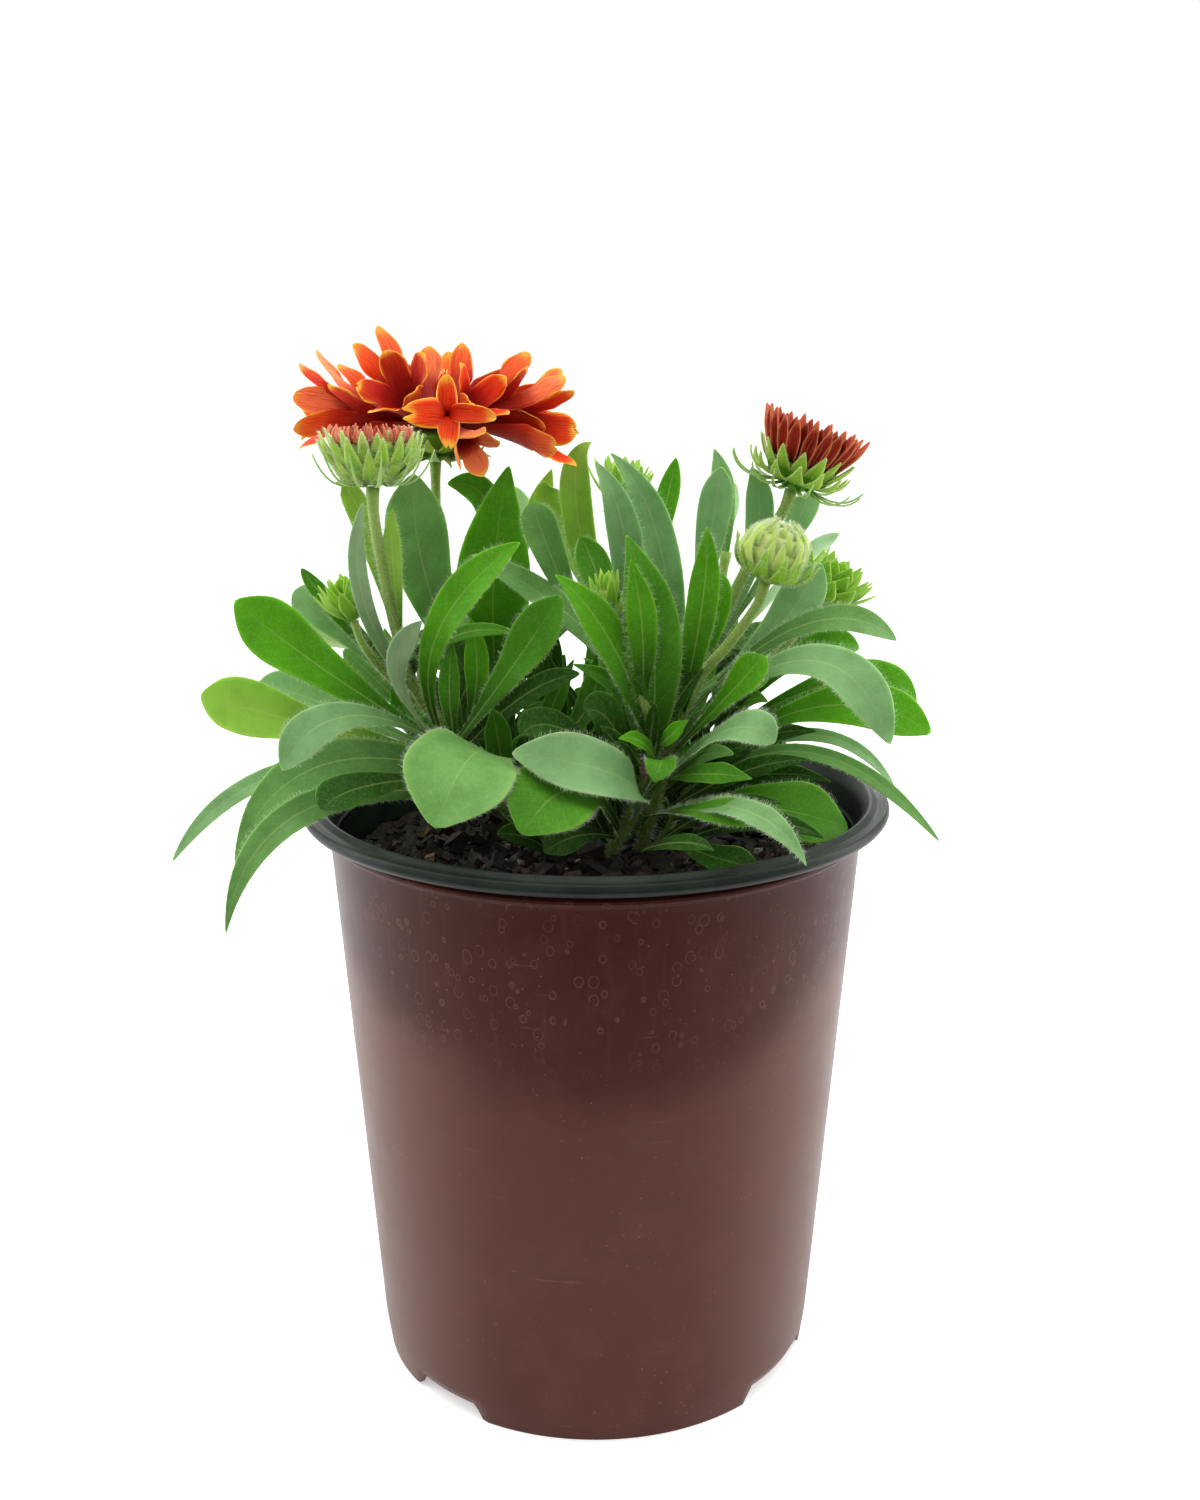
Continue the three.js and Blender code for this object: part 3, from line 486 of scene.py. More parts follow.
@dataclass(frozen=True)
class PottingMix:
    """Bark and peat mix that fills the pot. Lengths in mm."""

    pot: NurseryPot = POT
    lump: float = 1.2
    chips: int = 1500
    crumbs: int = 90
    rings: int = 70
    sides: int = 150
    seed: int = 301

    PEAT = (40, 30, 24)
    PERLITE = (196, 186, 170)
    BARKS = ((44, 35, 28), (32, 27, 23), (66, 50, 38), (24, 22, 21), (120, 98, 74), (56, 47, 40))
    BARK_SHARES = (0.28, 0.26, 0.14, 0.2, 0.04, 0.08)
    BOX_SIDES = ((0, 1, 3, 2), (4, 6, 7, 5), (0, 4, 5, 1), (2, 3, 7, 6), (0, 2, 6, 4), (1, 5, 7, 3))

    def height(self, x: Array, y: Array) -> Array:
        """Work out the lumpy top: SOIL_Z and three layers of crossing waves, ever finer.

        Args:
            x: places across.
            y: places in depth.

        Returns:
            The height at each.
        """
        broad = np.sin(0.31 * x + 1.3) * np.cos(0.27 * y) + 0.6 * np.sin(0.57 * x - 0.41 * y)
        fine = np.sin(1.1 * x + 2 * np.sin(0.6 * y)) * np.cos(1.3 * y + np.sin(0.9 * x))
        grit = np.sin(2.7 * x - 1.9 * y) * np.sin(2.2 * y + 1.7 * x)
        return SOIL_Z + self.lump * (broad + 0.45 * fine + 0.25 * grit)

    def skin(self) -> Skin:
        """Work out the body of the mix: the lumpy top over a plain underside.

        Returns:
            The body.
        """
        pot = self.pot
        low, high = pot.crease_z + 2, SOIL_Z - 3
        floor = pot.floor_thickness + GAP
        below = np.array([
            (0, floor), (pot.floor_radius, floor), (pot.floor_radius + 1.8, pot.floor_step + floor),
            (pot.inner_radius(low) - 3 * GAP, low), (pot.inner_radius(high) - 2 * GAP, high),
        ])
        lower = polar(below[:, :1], circle(self.sides), below[:, 1:2])
        radius = np.linspace(0.985, 0, self.rings)[:, None] * (pot.inner_radius(SOIL_Z) - 2 * GAP)
        top = polar(radius, circle(self.sides), 0)
        top[..., 2] = self.height(top[..., 0], top[..., 1])
        places = np.concatenate([lower, top])
        return Skin.plain(places, grid_faces(len(places), self.sides, ring=True), linear(self.PEAT))

    def litter(self) -> Skin:
        """Lay chips of bark and pale crumbs over the top: bent boxes, half sunk, turned any way.

        Returns:
            The chips and crumbs.
        """
        dice = np.random.default_rng(self.seed)
        count = self.chips + self.crumbs
        reach = self.pot.inner_radius(SOIL_Z) - 5
        radius, angle = reach * np.sqrt(dice.uniform(0, 1, count)), dice.uniform(0, 2 * np.pi, count)
        x, y = radius * np.cos(angle), radius * np.sin(angle)
        base = np.stack([x, y, self.height(x, y) + dice.uniform(-0.4, 0.7, count)], axis=-1)
        length = dice.gamma(4, 0.42, count)
        size = np.stack([length, length * dice.uniform(0.3, 0.7, count), length * 0.3], axis=-1)
        size[self.chips :] = dice.uniform(0.5, 1.1, (self.crumbs, 1)) * np.array([1, 0.9, 0.8])
        corner = np.array([[i, j, k] for i in (-1, 1) for j in (-1, 1) for k in (-1, 1)], float)
        box = corner[None] * size[:, None] * (1 + dice.normal(0, 0.16, (count, 8, 3)))
        box[:, :, 2] += 0.06 * box[:, :, 0] ** 2
        yaw, tilt = dice.uniform(0, 2 * np.pi, (count, 1, 1)), dice.normal(0, 0.5, (count, 1, 1))
        for axis, turn in (((1, 0, 0), tilt), ((0, 1, 0), tilt[::-1]), (UP, yaw)):
            box = turned(box, axis, turn)
        faces = (np.arange(count)[:, None, None] * 8 + np.array(self.BOX_SIDES)[None]).reshape(-1, 4)
        tint = linear(self.BARKS)[dice.choice(6, count, p=self.BARK_SHARES)]
        tint[self.chips :] = linear(self.PERLITE) * dice.uniform(0.6, 1, (self.crumbs, 1))
        return Skin.plain(base[:, None] + box, faces, np.repeat(tint, 8, axis=0))

    def add(self, nursery: "Nursery") -> None:
        """Add the mix and the litter on it."""
        nursery.place("mix_body", self.skin(), Finish.POTTING_MIX, node="potting_mix")
        nursery.place("bark_litter", self.litter(), Finish.POTTING_MIX, weld=False, smooth=False)


# ---- finishes ----


@dataclass(frozen=True)
class Value:
    """A value under way in a material: sums of values become its nodes."""

    graph: "Graph"
    socket: bpy.types.NodeSocket

    def sum(self, how: str, other: "Value | float" = 0) -> "Value":
        """Work out one sum with another value, such as ADD or ABSOLUTE."""
        return self.graph.add("ShaderNodeMath", {0: self, 1: other}, operation=how)

    def __add__(self, other: "Value | float") -> "Value":
        """Add a value."""
        return self.sum("ADD", other)

    def __sub__(self, other: "Value | float") -> "Value":
        """Take a value away."""
        return self.sum("SUBTRACT", other)

    def __mul__(self, other: "Value | float") -> "Value":
        """Multiply by a value."""
        return self.sum("MULTIPLY", other)

    def __abs__(self) -> "Value":
        """Drop the sign."""
        return self.sum("ABSOLUTE")

    def span(self, low: float, high: float, start: float = 0.0, end: float = 1.0) -> "Value":
        """Ease the value from start to end as it goes from low to high."""
        inputs = {"Value": self, "From Min": low, "From Max": high, "To Min": start, "To Max": end}
        return self.graph.add("ShaderNodeMapRange", inputs, interpolation_type="SMOOTHSTEP")

    def beside(self, output: int | str) -> "Value":
        """Give another output of the same node."""
        return replace(self, socket=self.socket.node.outputs[output])

    def parts(self) -> tuple["Value", "Value", "Value"]:
        """Split a vector into its three parts."""
        first = self.graph.add("ShaderNodeSeparateXYZ", {0: self})
        return first, first.beside(1), first.beside(2)

    def stretched(self, scale: Place) -> "Value":
        """Scale a vector along each axis."""
        return self.graph.add("ShaderNodeMapping", {"Vector": self, "Scale": scale})

    def noise(self, scale: float, detail: float = 3.0, rough: float = 0.55) -> "Value":
        """Give cloudy noise at this place, 0 to 1."""
        inputs = {"Vector": self, "Scale": scale, "Detail": detail, "Roughness": rough}
        return self.graph.add("ShaderNodeTexNoise", inputs)

    def cells(self, scale: float) -> "Value":
        """Give the distance from this place to the nearest of scattered points."""
        return self.graph.add("ShaderNodeTexVoronoi", {"Vector": self, "Scale": scale}, "Distance")

    def ramp(self, stops: list[tuple[float, Tint]]) -> "Value":
        """Run the value through a row of colours.

        Args:
            stops: the colours, each with its position from 0 to 1.

        Returns:
            The colour.
        """
        colour = self.graph.add("ShaderNodeValToRGB", {0: self})
        elements = colour.socket.node.color_ramp.elements
        for extra in range(len(stops) - len(elements)):
            elements.new(0.1 + 0.1 * extra)
        for element, (position, tint) in zip(elements, stops):
            element.position = position
            element.color = paint(tint)
        return colour


class Graph:
    """Builds the nodes of one material or sky by plain calls."""

    def __init__(self, owner: bpy.types.ID, shader: str = "Principled BSDF") -> None:
        """Start on what holds the nodes.

        Args:
            owner: the material or world.
            shader: the node that the rest feeds.
        """
        owner.use_nodes = True
        self.owner = owner
        self.tree = owner.node_tree
        self.shader = self.tree.nodes[shader]

    def feed(self, socket: bpy.types.NodeSocket, value: object) -> None:
        """Link a socket to a value under way, or set it.

        Args:
            socket: the socket.
            value: the value under way, or a plain one.
        """
        if isinstance(value, Value):
            self.tree.links.new(value.socket, socket)
        else:
            socket.default_value = value

    def add(self, kind: str, inputs: dict, output: int | str = 0, **settings: object) -> Value:
        """Add a node, set its properties and feed it.

        Args:
            kind: Blender's name for the node.
            inputs: what goes into its sockets, by their number or name.
            output: which output is wanted.
            settings: its properties.

        Returns:
            That output.
        """
        node = self.tree.nodes.new(kind)
        for key, value in settings.items():
            setattr(node, key, value)
        for key, value in inputs.items():
            self.feed(node.inputs[key], value)
        return Value(self, node.outputs[output])

    def place(self) -> Value:
        """Give the place on the piece, in metres, or the way seen in the sky."""
        return self.add("ShaderNodeTexCoord", {}, "Object")

    def attribute(self, name: str, output: str) -> Value:
        """Read a value stored on the mesh."""
        return self.add("ShaderNodeAttribute", {}, output, attribute_name=name)

    def mix(self, share: object, first: object, second: object, how: str = "MIX") -> Value:
        """Mix two colours."""
        inputs = {0: share, 6: first, 7: second}
        return self.add("ShaderNodeMix", inputs, 2, data_type="RGBA", blend_type=how)

    def bump(self, height: Value, strength: float, distance: float) -> None:
        """Let a height roughen the surface, over a distance in metres."""
        inputs = {"Strength": strength, "Distance": distance, "Height": height}
        self.feed(self.shader.inputs["Normal"], self.add("ShaderNodeBump", inputs))

    def set(self, **values: object) -> None:
        """Set the shader's own sockets, named with underscores for spaces."""
        for name, value in values.items():
            self.feed(self.shader.inputs[name.replace("_", " ")], value)


@dataclass(frozen=True)
class TissueFinish:
    """Living leaf or bract: the mesh's own colours, mottled, with a pale midrib and soft veins."""

    name: str
    roughness: float = 0.5
    glow: float = 0.3
    veins: float = 1.0
    mottle: float = 0.3

    def material(self) -> bpy.types.Material:
        """Build the material.

        Veins run forward from the midrib: a sine of mm along less 1.3 times mm across.

        Returns:
            The material.
        """
        graph = Graph(bpy.data.materials.new(self.name))
        place = graph.place()
        tint = graph.attribute("tint", "Color")
        across, along, share = graph.attribute("chart", "Vector").parts()
        away = abs(across)
        blade = share.span(-0.1, 0)
        fading = share.span(0.55, 1, 1, 0.15)
        rib = away.span(0.06, 0.32, 1, 0) * fading * (blade * (0.26 * self.veins))
        vein = ((along - away * 1.3) * 1.5 + place.noise(160, 2) * 3).sum("SINE")
        vein = vein.span(0.3, 1) * blade
        cloud, fine = place.noise(120, 4), place.noise(1500, 2)
        dark = graph.mix(cloud.span(0.35, 0.7, 0, self.mottle), tint, (0.25, 0.35, 0.12, 1), "MULTIPLY")
        pale = graph.mix(fine.span(0.45, 0.7, 0, 0.07), dark, paint((196, 214, 160)))
        veined = graph.mix(vein * (0.022 * self.veins), pale, paint((178, 204, 128)))
        graph.bump(fine * 0.5 - vein * 0.12, 0.35, 0.0003)
        graph.set(
            Base_Color=graph.mix(rib, veined, paint((192, 210, 126))),
            Roughness=cloud.span(0.3, 0.7, self.roughness - 0.06, self.roughness + 0.1),
            Subsurface_Weight=self.glow,
            Subsurface_Radius=(0.5, 1, 0.25),
            Subsurface_Scale=0.0012,
            Specular_IOR_Level=0.1,
        )
        return graph.owner


@dataclass(frozen=True)
class PetalFinish:
    """Ray tissue: the mesh's own colours with fine streaks from root to tip."""

    name: str
    roughness: float = 0.55
    glow: float = 0.3

    def material(self) -> bpy.types.Material:
        """Build the material, whose streaks are noise drawn out along the ray.

        Returns:
            The material.
        """
        graph = Graph(bpy.data.materials.new(self.name))
        tint = graph.attribute("tint", "Color")
        streak = graph.attribute("chart", "Vector").stretched((4.4, 0.2, 0)).noise(1, 3, 0.6)
        grain = graph.place().noise(2600, 2)
        dark = graph.mix(streak.span(0.42, 0.66, 0, 0.7), tint, (0.55, 0.3, 0.25, 1), "MULTIPLY")
        light = graph.mix(streak.span(0.28, 0.44, 0.14, 0), dark, paint((244, 120, 30)))
        graph.bump(streak + grain * 0.3, 0.4, 0.0003)
        graph.set(
            Base_Color=graph.mix(grain.span(0.5, 0.75, 0, 0.2), light, (0.5, 0.3, 0.2, 1), "MULTIPLY"),
            Roughness=self.roughness,
            Subsurface_Weight=self.glow,
            Subsurface_Radius=(1, 0.35, 0.1),
            Subsurface_Scale=0.001,
            Specular_IOR_Level=0.16,
        )
        return graph.owner


@dataclass(frozen=True)
class DownFinish:
    """Fine pale hairs."""

    name: str = "plant_down"

    def material(self) -> bpy.types.Material:
        """Build the material, a little darker at random along the plant.

        Returns:
            The material.
        """
        graph = Graph(bpy.data.materials.new(self.name))
        tint = graph.attribute("tint", "Color")
        patch = graph.place().noise(300, 2).span(0.3, 0.7, 0, 0.35)
        colour = graph.mix(patch, tint, (0.72, 0.8, 0.6, 1), "MULTIPLY")
        graph.set(Base_Color=colour, Roughness=0.6, Specular_IOR_Level=0.3)
        return graph.owner


@dataclass(frozen=True)
class PlasticFinish:
    """Thin moulded plastic: brown outside with dust, drops, scratches and painted reflections, black inside
    and on the rim.
    """

    pot: NurseryPot = POT
    name: str = "pot_plastic"

    # how far the painted reflection's dark zone dips in the middle
    BOWL = 4.5
    # strength of the painted reflection of the side lights
    SIDE_SHEEN = 0.09
    RIM_BLACK = (7, 6.4)
    # up the wall: the pot's brown with a painted reflection, lighter low down and darker high up
    BROWNS_AND_REFLECTION = [
        (0, (70, 34, 26)), (0.35, (76, 38, 28)), (0.62, (77, 39, 30)), (0.73, (61, 20, 12)),
        (0.82, (57, 15, 8)), (0.97, (58, 17, 10)),
    ]

    def material(self) -> bpy.types.Material:
        """Build the material.

        Black is where the place lies inside the wall's line, or above the bead under the rim. The
        brown is a painted reflection as well as the pot's own colour: lighter low down, where the
        pale floor is mirrored, and darker high up, where the dim room is. Its level is z less bowl x^2,
        so that the dark zone hangs lowest in the middle, and a painted reflection of the side
        lights pales the two sides.

        Returns:
            The material.
        """
        graph = Graph(bpy.data.materials.new(self.name))
        place = graph.place()
        x, y, z = place.parts()
        pot = self.pot
        radius = (x * x + y * y).sum("SQRT")
        depth = (z - pot.crease_z * MM) * pot.slope + pot.crease_radius * MM - radius
        inside = depth.span(0.0005, 0.0008) * z.span(0.0085, 0.0095)
        black = inside.sum("MAXIMUM", z.span(*((pot.rim_z - below) * MM for below in self.RIM_BLACK)))

        drift, cloud = place.noise(22, 4), place.noise(65, 5, 0.6)
        # height that sets the painted reflection, dipping in the middle
        level = z + (drift - 0.5) * 0.022 - x * x * self.BOWL
        # painted reflection of the side lights over both sides, below the dark zone
        side_sheen = abs(x).span(0.02, 0.06) * self.SIDE_SHEEN * level.span(0.1, 0.117, 1, 0)
        high = z.span(0.104, 0.128)
        spread = place.stretched((1, 1, 0.8)).cells(290)
        own_red, own_green, _ = spread.beside("Color").parts()
        drops = abs(spread - own_red.span(0, 1, 0.2, 0.38)).span(0.015, 0.06, 1, 0)
        drops = drops * own_green.span(0.1, 0.5) * high * drift.span(0.46, 0.6, 1, 0)
        speck = place.cells(420).span(0.05, 0.11, 1, 0) * place.noise(45, 3).span(0.42, 0.62)
        scratch = place.stretched((40, 40, 900)).noise(1, 2)
        scratch = scratch.span(0.7, 0.76) * cloud.span(0.45, 0.6)
        drip = place.stretched((420, 420, 16)).noise(1, 3).span(0.56, 0.72) * high

        # the pot's brown with the painted reflection of floor and room
        brown = level.span(0, 0.165).ramp(self.BROWNS_AND_REFLECTION)
        # the first mark is the painted reflection of the side lights; the rest are the pot's own marks
        marks = (
            (side_sheen, (178, 146, 130)), (cloud.span(0.4, 0.75, 0, 0.08), (126, 80, 66)),
            (drip * 0.05, (136, 84, 70)), (drops * 0.2, (140, 98, 84)),
            (speck * 0.3, (176, 140, 112)), (scratch * 0.16, (160, 130, 118)),
        )
        for share, tint in marks:
            brown = graph.mix(share, brown, paint(tint))
        coal = graph.mix(cloud.span(0.35, 0.7), paint((16, 24, 17)), paint((30, 41, 32)))
        coal = graph.mix(speck * 0.3, coal, paint((120, 116, 104)))
        wave = place.stretched((1, 1, 0.25)).noise(26, 2)
        graph.bump(wave + speck * 0.02, 0.18, 0.002)
        graph.set(
            Base_Color=graph.mix(black, brown, coal),
            Roughness=speck * 0.25 + cloud * 0.16 + 0.3,
            Specular_IOR_Level=0.16,
        )
        return graph.owner


@dataclass(frozen=True)
class MixFinish:
    """Moist bark and peat."""

    name: str = "potting_mix"

    def material(self) -> bpy.types.Material:
        """Build the material: the mesh's own colours, broken up by noise, with fibres.

        Returns:
            The material.
        """
        graph = Graph(bpy.data.materials.new(self.name))
        place = graph.place()
        tint = graph.attribute("tint", "Color")
        crumb = place.noise(420, 5, 0.65)
        fibre = place.stretched((900, 260, 500)).noise(1, 3)
        dark = graph.mix(crumb.span(0.35, 0.6, 0.75, 0), tint, (0.22, 0.2, 0.18, 1), "MULTIPLY")
        colour = graph.mix(fibre.span(0.6, 0.75, 0, 0.4), dark, paint((96, 70, 50)))
        graph.bump(crumb + fibre, 0.8, 0.0008)
        graph.set(Base_Color=colour, Roughness=crumb.span(0.3, 0.7, 0.6, 0.95), Specular_IOR_Level=0.35)
        return graph.owner


class Finish(Enum):
    """The finishes, each named as its slot in the record, and the hairs' own."""

    LEAF = TissueFinish("leaf_tissue")
    BRACT = TissueFinish("bract_tissue", 0.6, 0.35, 0.5, 0.1)
    FLUTED_RAY = PetalFinish("fluted_ray")
    YOUNG_RAY = PetalFinish("young_ray", 0.6, 0.2)
    RAY_TIP = PetalFinish("ray_tip", 0.6, 0.3)
    DISC_FLORET = PetalFinish("disc_floret", 0.7, 0.1)
    POT_PLASTIC = PlasticFinish()
    POTTING_MIX = MixFinish()
    DOWN = DownFinish()


class Nursery:
    """Makes the pieces and sets them in the frame."""

    def __init__(self) -> None:
        """Build every finish once."""
        self.materials = {finish: finish.value.material() for finish in Finish}

    def place(
        self, name: str, skin: Skin, finish: Finish, owner: Finish | None = None, node: str = "",
        weld: bool = True, smooth: bool = True,
    ) -> bpy.types.Object:
        """Make a piece and set it in the frame.

        Args:
            name: the piece's name.
            skin: its shape.
            finish: its finish.
            owner: the finish whose slot it would go with; not used.
            node: the solid that it stands for, if it does.
            weld: whether places that meet are made one.
            smooth: whether it is shaded round.

        Returns:
            The piece.
        """
        piece = stand(name, skin.mesh(name, weld, smooth))
        piece.data.materials.append(self.materials[finish])
        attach(piece, "root")
        if node:
            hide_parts(node)
        log.info("%s: %d faces", name, len(piece.data.polygons))
        return piece


# ---- blades ----


@dataclass(frozen=True)
class Tone:
    """Screen colours of a blade: at its root (darker, partly painted shade), over its face, on its other
    side and at its edge.
    """

    low: Tint
    high: Tint
    under: Tint
    edge: Tint
    low_end: float = 0.62
    edge_start: float = 0.9
    edge_share: float = 0.55
    tip_share: float = 0.0

    def colours(self, along: Array, side: Array, shade: float = 1.0) -> tuple[Array, Array]:
        """Colour both sides of a blade.

        The root's colour, partly the blade's own darker base and partly painted shade, eases into the
        face's by low_end of the length, and the edge's colour eases in beyond edge_start of the half
        width and, with tip_share, over the last fifth.

        Args:
            along: shares of the length, one to a row.
            side: shares of the half width, -1 to 1, one to a column.
            shade: a factor on all of it.

        Returns:
            The colours of the face and of the other side, on the grid.
        """
        along, side = np.broadcast_arrays(along, side)
        # share of the root's darker colour, partly painted shade
        low = 1 - eased(along / self.low_end)
        rim = eased((np.abs(side) - self.edge_start) / (1 - self.edge_start)) * self.edge_share
        rim = np.maximum(rim, eased((along - 0.8) / 0.2) * self.tip_share)
        face = mixed(linear(self.high), linear(self.low), low)
        other = mixed(linear(self.under), linear(self.low), low * 0.7)
        edge = linear(self.edge)
        return mixed(face, edge, rim) * shade, mixed(other, edge, rim * 0.6) * shade


class Outline(Enum):
    """Half width along a blade as a share of its widest, with where its tip starts to close."""

    SPOON = (0.13, 0.87, 0.9, 2.05, 0.95, 0.82, 2.2)
    LANCE = (0.2, 0.8, 0.97, 1.15, 0.9, 0.62, 1.7)
    STRAP = (0.35, 0.65, 0.97, 1.4, 0.7, 0.75, 1.9)
    RAY = (0.55, 0.45, 0.95, 1, 1, 0.62, 1.5)
    BRACT = (0, 0, 0, 0, 0, 0.5, 1.25)

    def share(self, along: Array) -> Array:
        """Give the half width at shares of the length: low + high sin(pi sweep t^power)^bow.

        A bract tapers by 1 - 0.6 t^1.6 instead. The tip closes by (1 - s^round)^0.5, where s
        runs from 0 where the tip starts to 1 at the end.

        Args:
            along: the shares of the length.

        Returns:
            The share of the widest half width at each.
        """
        low, high, sweep, power, bow, tip_start, tip_round = self.value
        if self is Outline.BRACT:
            body = 1 - 0.6 * along**1.6
        else:
            body = low + high * np.sin(np.pi * sweep * along**power) ** bow
        closing = np.clip((along - tip_start) / (1 - tip_start), 0, 1)
        return body * np.sqrt(1 - closing**tip_round)


@dataclass
class Sheet:
    """A blade worked out on a grid: rows from root to tip, columns from edge to edge."""

    middle: Array
    lift: Array
    across: Array
    along: Array
    side: Array
    half: Array
    thickness: Array
    keel: Array
    length: float

    def closed(self, tone: Tone, shade: float) -> Skin:
        """Close the blade: one sheet half a thickness above the middle surface and one below.

        The thickness is nothing along the border, so the two meet there once welded.

        Args:
            tone: its colours.
            shade: a factor on them.

        Returns:
            The closed blade.
        """
        up = self.lift * (self.thickness / 2)[..., None]
        down = self.lift * (self.thickness / 2 + self.keel)[..., None]
        chart = (self.side * self.half, self.along * self.length, self.along)
        tints = tone.colours(self.along, self.side, shade)
        return Skin.thin(self.middle + up, self.middle - down, tints, chart)


@dataclass(frozen=True)
class Blade:
    """A leaf, bract or ray, bent through three places. Lengths in mm, angles in degrees."""

    root: Place
    over: Place
    tip: Place
    width: float
    outline: Outline
    face: Place
    roll: float = 0.0
    channel: float = 0.16
    thickness: float = 0.55
    wave: float = 0.0
    twist: float = 0.0
    rib: float = 0.0
    rows: int = 24
    columns: int = 11

    def sheet(self, phase: float) -> Sheet:
        """Work the blade out on its grid.

        The midline is (1 - t)^2 root + 2 t (1 - t) control + t^2 tip, through over half way. The
        edges rise by channel x half width x |v|^1.7 and wave by wave x |v|^3 sin(...), a groove
        of exp(-(mm across)^2) runs down the middle, and the thickness falls to nothing at the
        border by (1 - v^4)^0.5.

        Args:
            phase: where the waves of the edges start, in radians.

        Returns:
            The blade on its grid.
        """
        root, over, tip = (np.array(place, float) for place in (self.root, self.over, self.tip))
        control = 2 * over - (root + tip) / 2
        step = np.linspace(0, 1, self.rows)[:, None]
        along = 1 - (1 - step) ** 1.45
        side = np.sin(np.pi / 2 * np.linspace(-1, 1, self.columns))[None, :]
        line = (1 - along) ** 2 * root + 2 * along * (1 - along) * control + along**2 * tip
        heading = unit(2 * (1 - along) * (control - root) + 2 * along * (tip - control))
        length = float(np.linalg.norm(np.diff(line, axis=0), axis=-1).sum())
        level_side = unit(np.cross(heading, np.array(self.face, float)))
        across = turned(level_side, heading, np.radians(self.roll + self.twist * eased(along)))
        above = np.cross(across, heading)
        half = self.width / 2 * self.outline.share(along)
        span = side * half
        curl = np.sin(5.5 * along * np.pi + phase + 1.4 * np.sign(side))
        level = self.channel * half * np.abs(side) ** 1.7
        level = level + self.wave * np.abs(side) ** 3 * curl * np.sin(np.pi * along)
        level = level - 0.3 * self.rib * np.exp(-(span**2)) * (1 - along)
        border = np.minimum(1, np.minimum(along, 1 - along) * 25)
        border[0], border[-1] = 0, 0
        edge = np.sqrt(1 - side**4)
        edge[:, 0], edge[:, -1] = 0, 0
        return Sheet(
            middle=line[:, None] + across[:, None] * span[..., None] + above[:, None] * level[..., None],
            lift=np.broadcast_to(above[:, None], (self.rows, self.columns, 3)),
            across=across, along=along, side=side, half=half,
            thickness=self.thickness * border * edge,
            keel=self.rib * np.exp(-((span / 0.7) ** 2)) * (1 - 0.8 * along) * border * edge,
            length=length,
        )


@dataclass
class Hairs:
    """Fine hairs under way, in tufts: where each starts, which way it points, how long it is, in mm."""

    tufts: list[tuple[Array, Array, Array]] = field(default_factory=list)

    GUIDE = (0.31, 0.52, 0.79)
    SUNK = 0.1

    def add(self, bases: Array, ways: Array, lengths: Array) -> None:
        """Keep some more hairs."""
        self.tufts.append((bases, unit(ways), lengths))

    def fringe(self, sheet: Sheet, dice: Dice, per_mm: float, length: float) -> None:
        """Set hairs along both edges of a blade, pointing outwards and a little up.

        Args:
            sheet: the blade.
            dice: the draws.
            per_mm: hairs to each mm of an edge.
            length: their mean length, in mm.
        """
        for column, way in ((0, -1), (-1, 1)):
            count = int(sheet.length * per_mm)
            share = dice.uniform(0.02, 0.96, count)
            row = sheet.along[:, 0]
            out = read(share, row, sheet.across) * way
            ways = out + 0.3 * read(share, row, sheet.lift[:, column]) + dice.normal(0, 0.32, (count, 3))
            lengths = length * dice.uniform(0.6, 1.35, count)
            self.add(read(share, row, sheet.middle[:, column]), ways, lengths)

    def nap(self, sheet: Sheet, dice: Dice, count: int, length: float) -> None:
        """Set hairs over the upper side of a blade.

        Args:
            sheet: the blade.
            dice: the draws.
            count: how many.
            length: their mean length, in mm.
        """
        rows, columns = sheet.middle.shape[:2]
        row = dice.integers(1, rows - 1, count)
        column = dice.integers(1, columns - 1, count)
        share = dice.uniform(0, 1, (count, 1))
        base = sheet.middle[row, column] * (1 - share) + sheet.middle[row + 1, column] * share
        lift = sheet.lift[row, column]
        ways = lift + dice.normal(0, 0.45, (count, 3))
        lift_by = (sheet.thickness[row, column] / 3)[:, None]
        self.add(base + lift * lift_by, ways, length * dice.uniform(0.6, 1.4, count))

    def skin(self, radius: float, tint: Tint) -> Skin:
        """Give every hair a body: a slim closed spike of three sides, four triangles in all.

        Args:
            radius: how thick a hair is at its foot, in mm.
            tint: its screen colour.

        Returns:
            The hairs.
        """
        bases, ways, lengths = (np.concatenate(part) for part in zip(*self.tufts))
        first, second = crosswise(ways, self.GUIDE)
        corners = [
            bases + radius * (first * math.cos(angle) + second * math.sin(angle)) - self.SUNK * ways
            for angle in (0, 2 * math.pi / 3, 4 * math.pi / 3)
        ]
        places = np.stack([*corners, bases + ways * lengths[:, None]], axis=1)
        start = np.arange(len(bases))[:, None, None] * 4
        faces = (start + np.array([[0, 2, 1], [0, 1, 3], [1, 2, 3], [2, 0, 3]])).reshape(-1, 3)
        return Skin.plain(places, faces, linear(tint))


# ---- stems ----


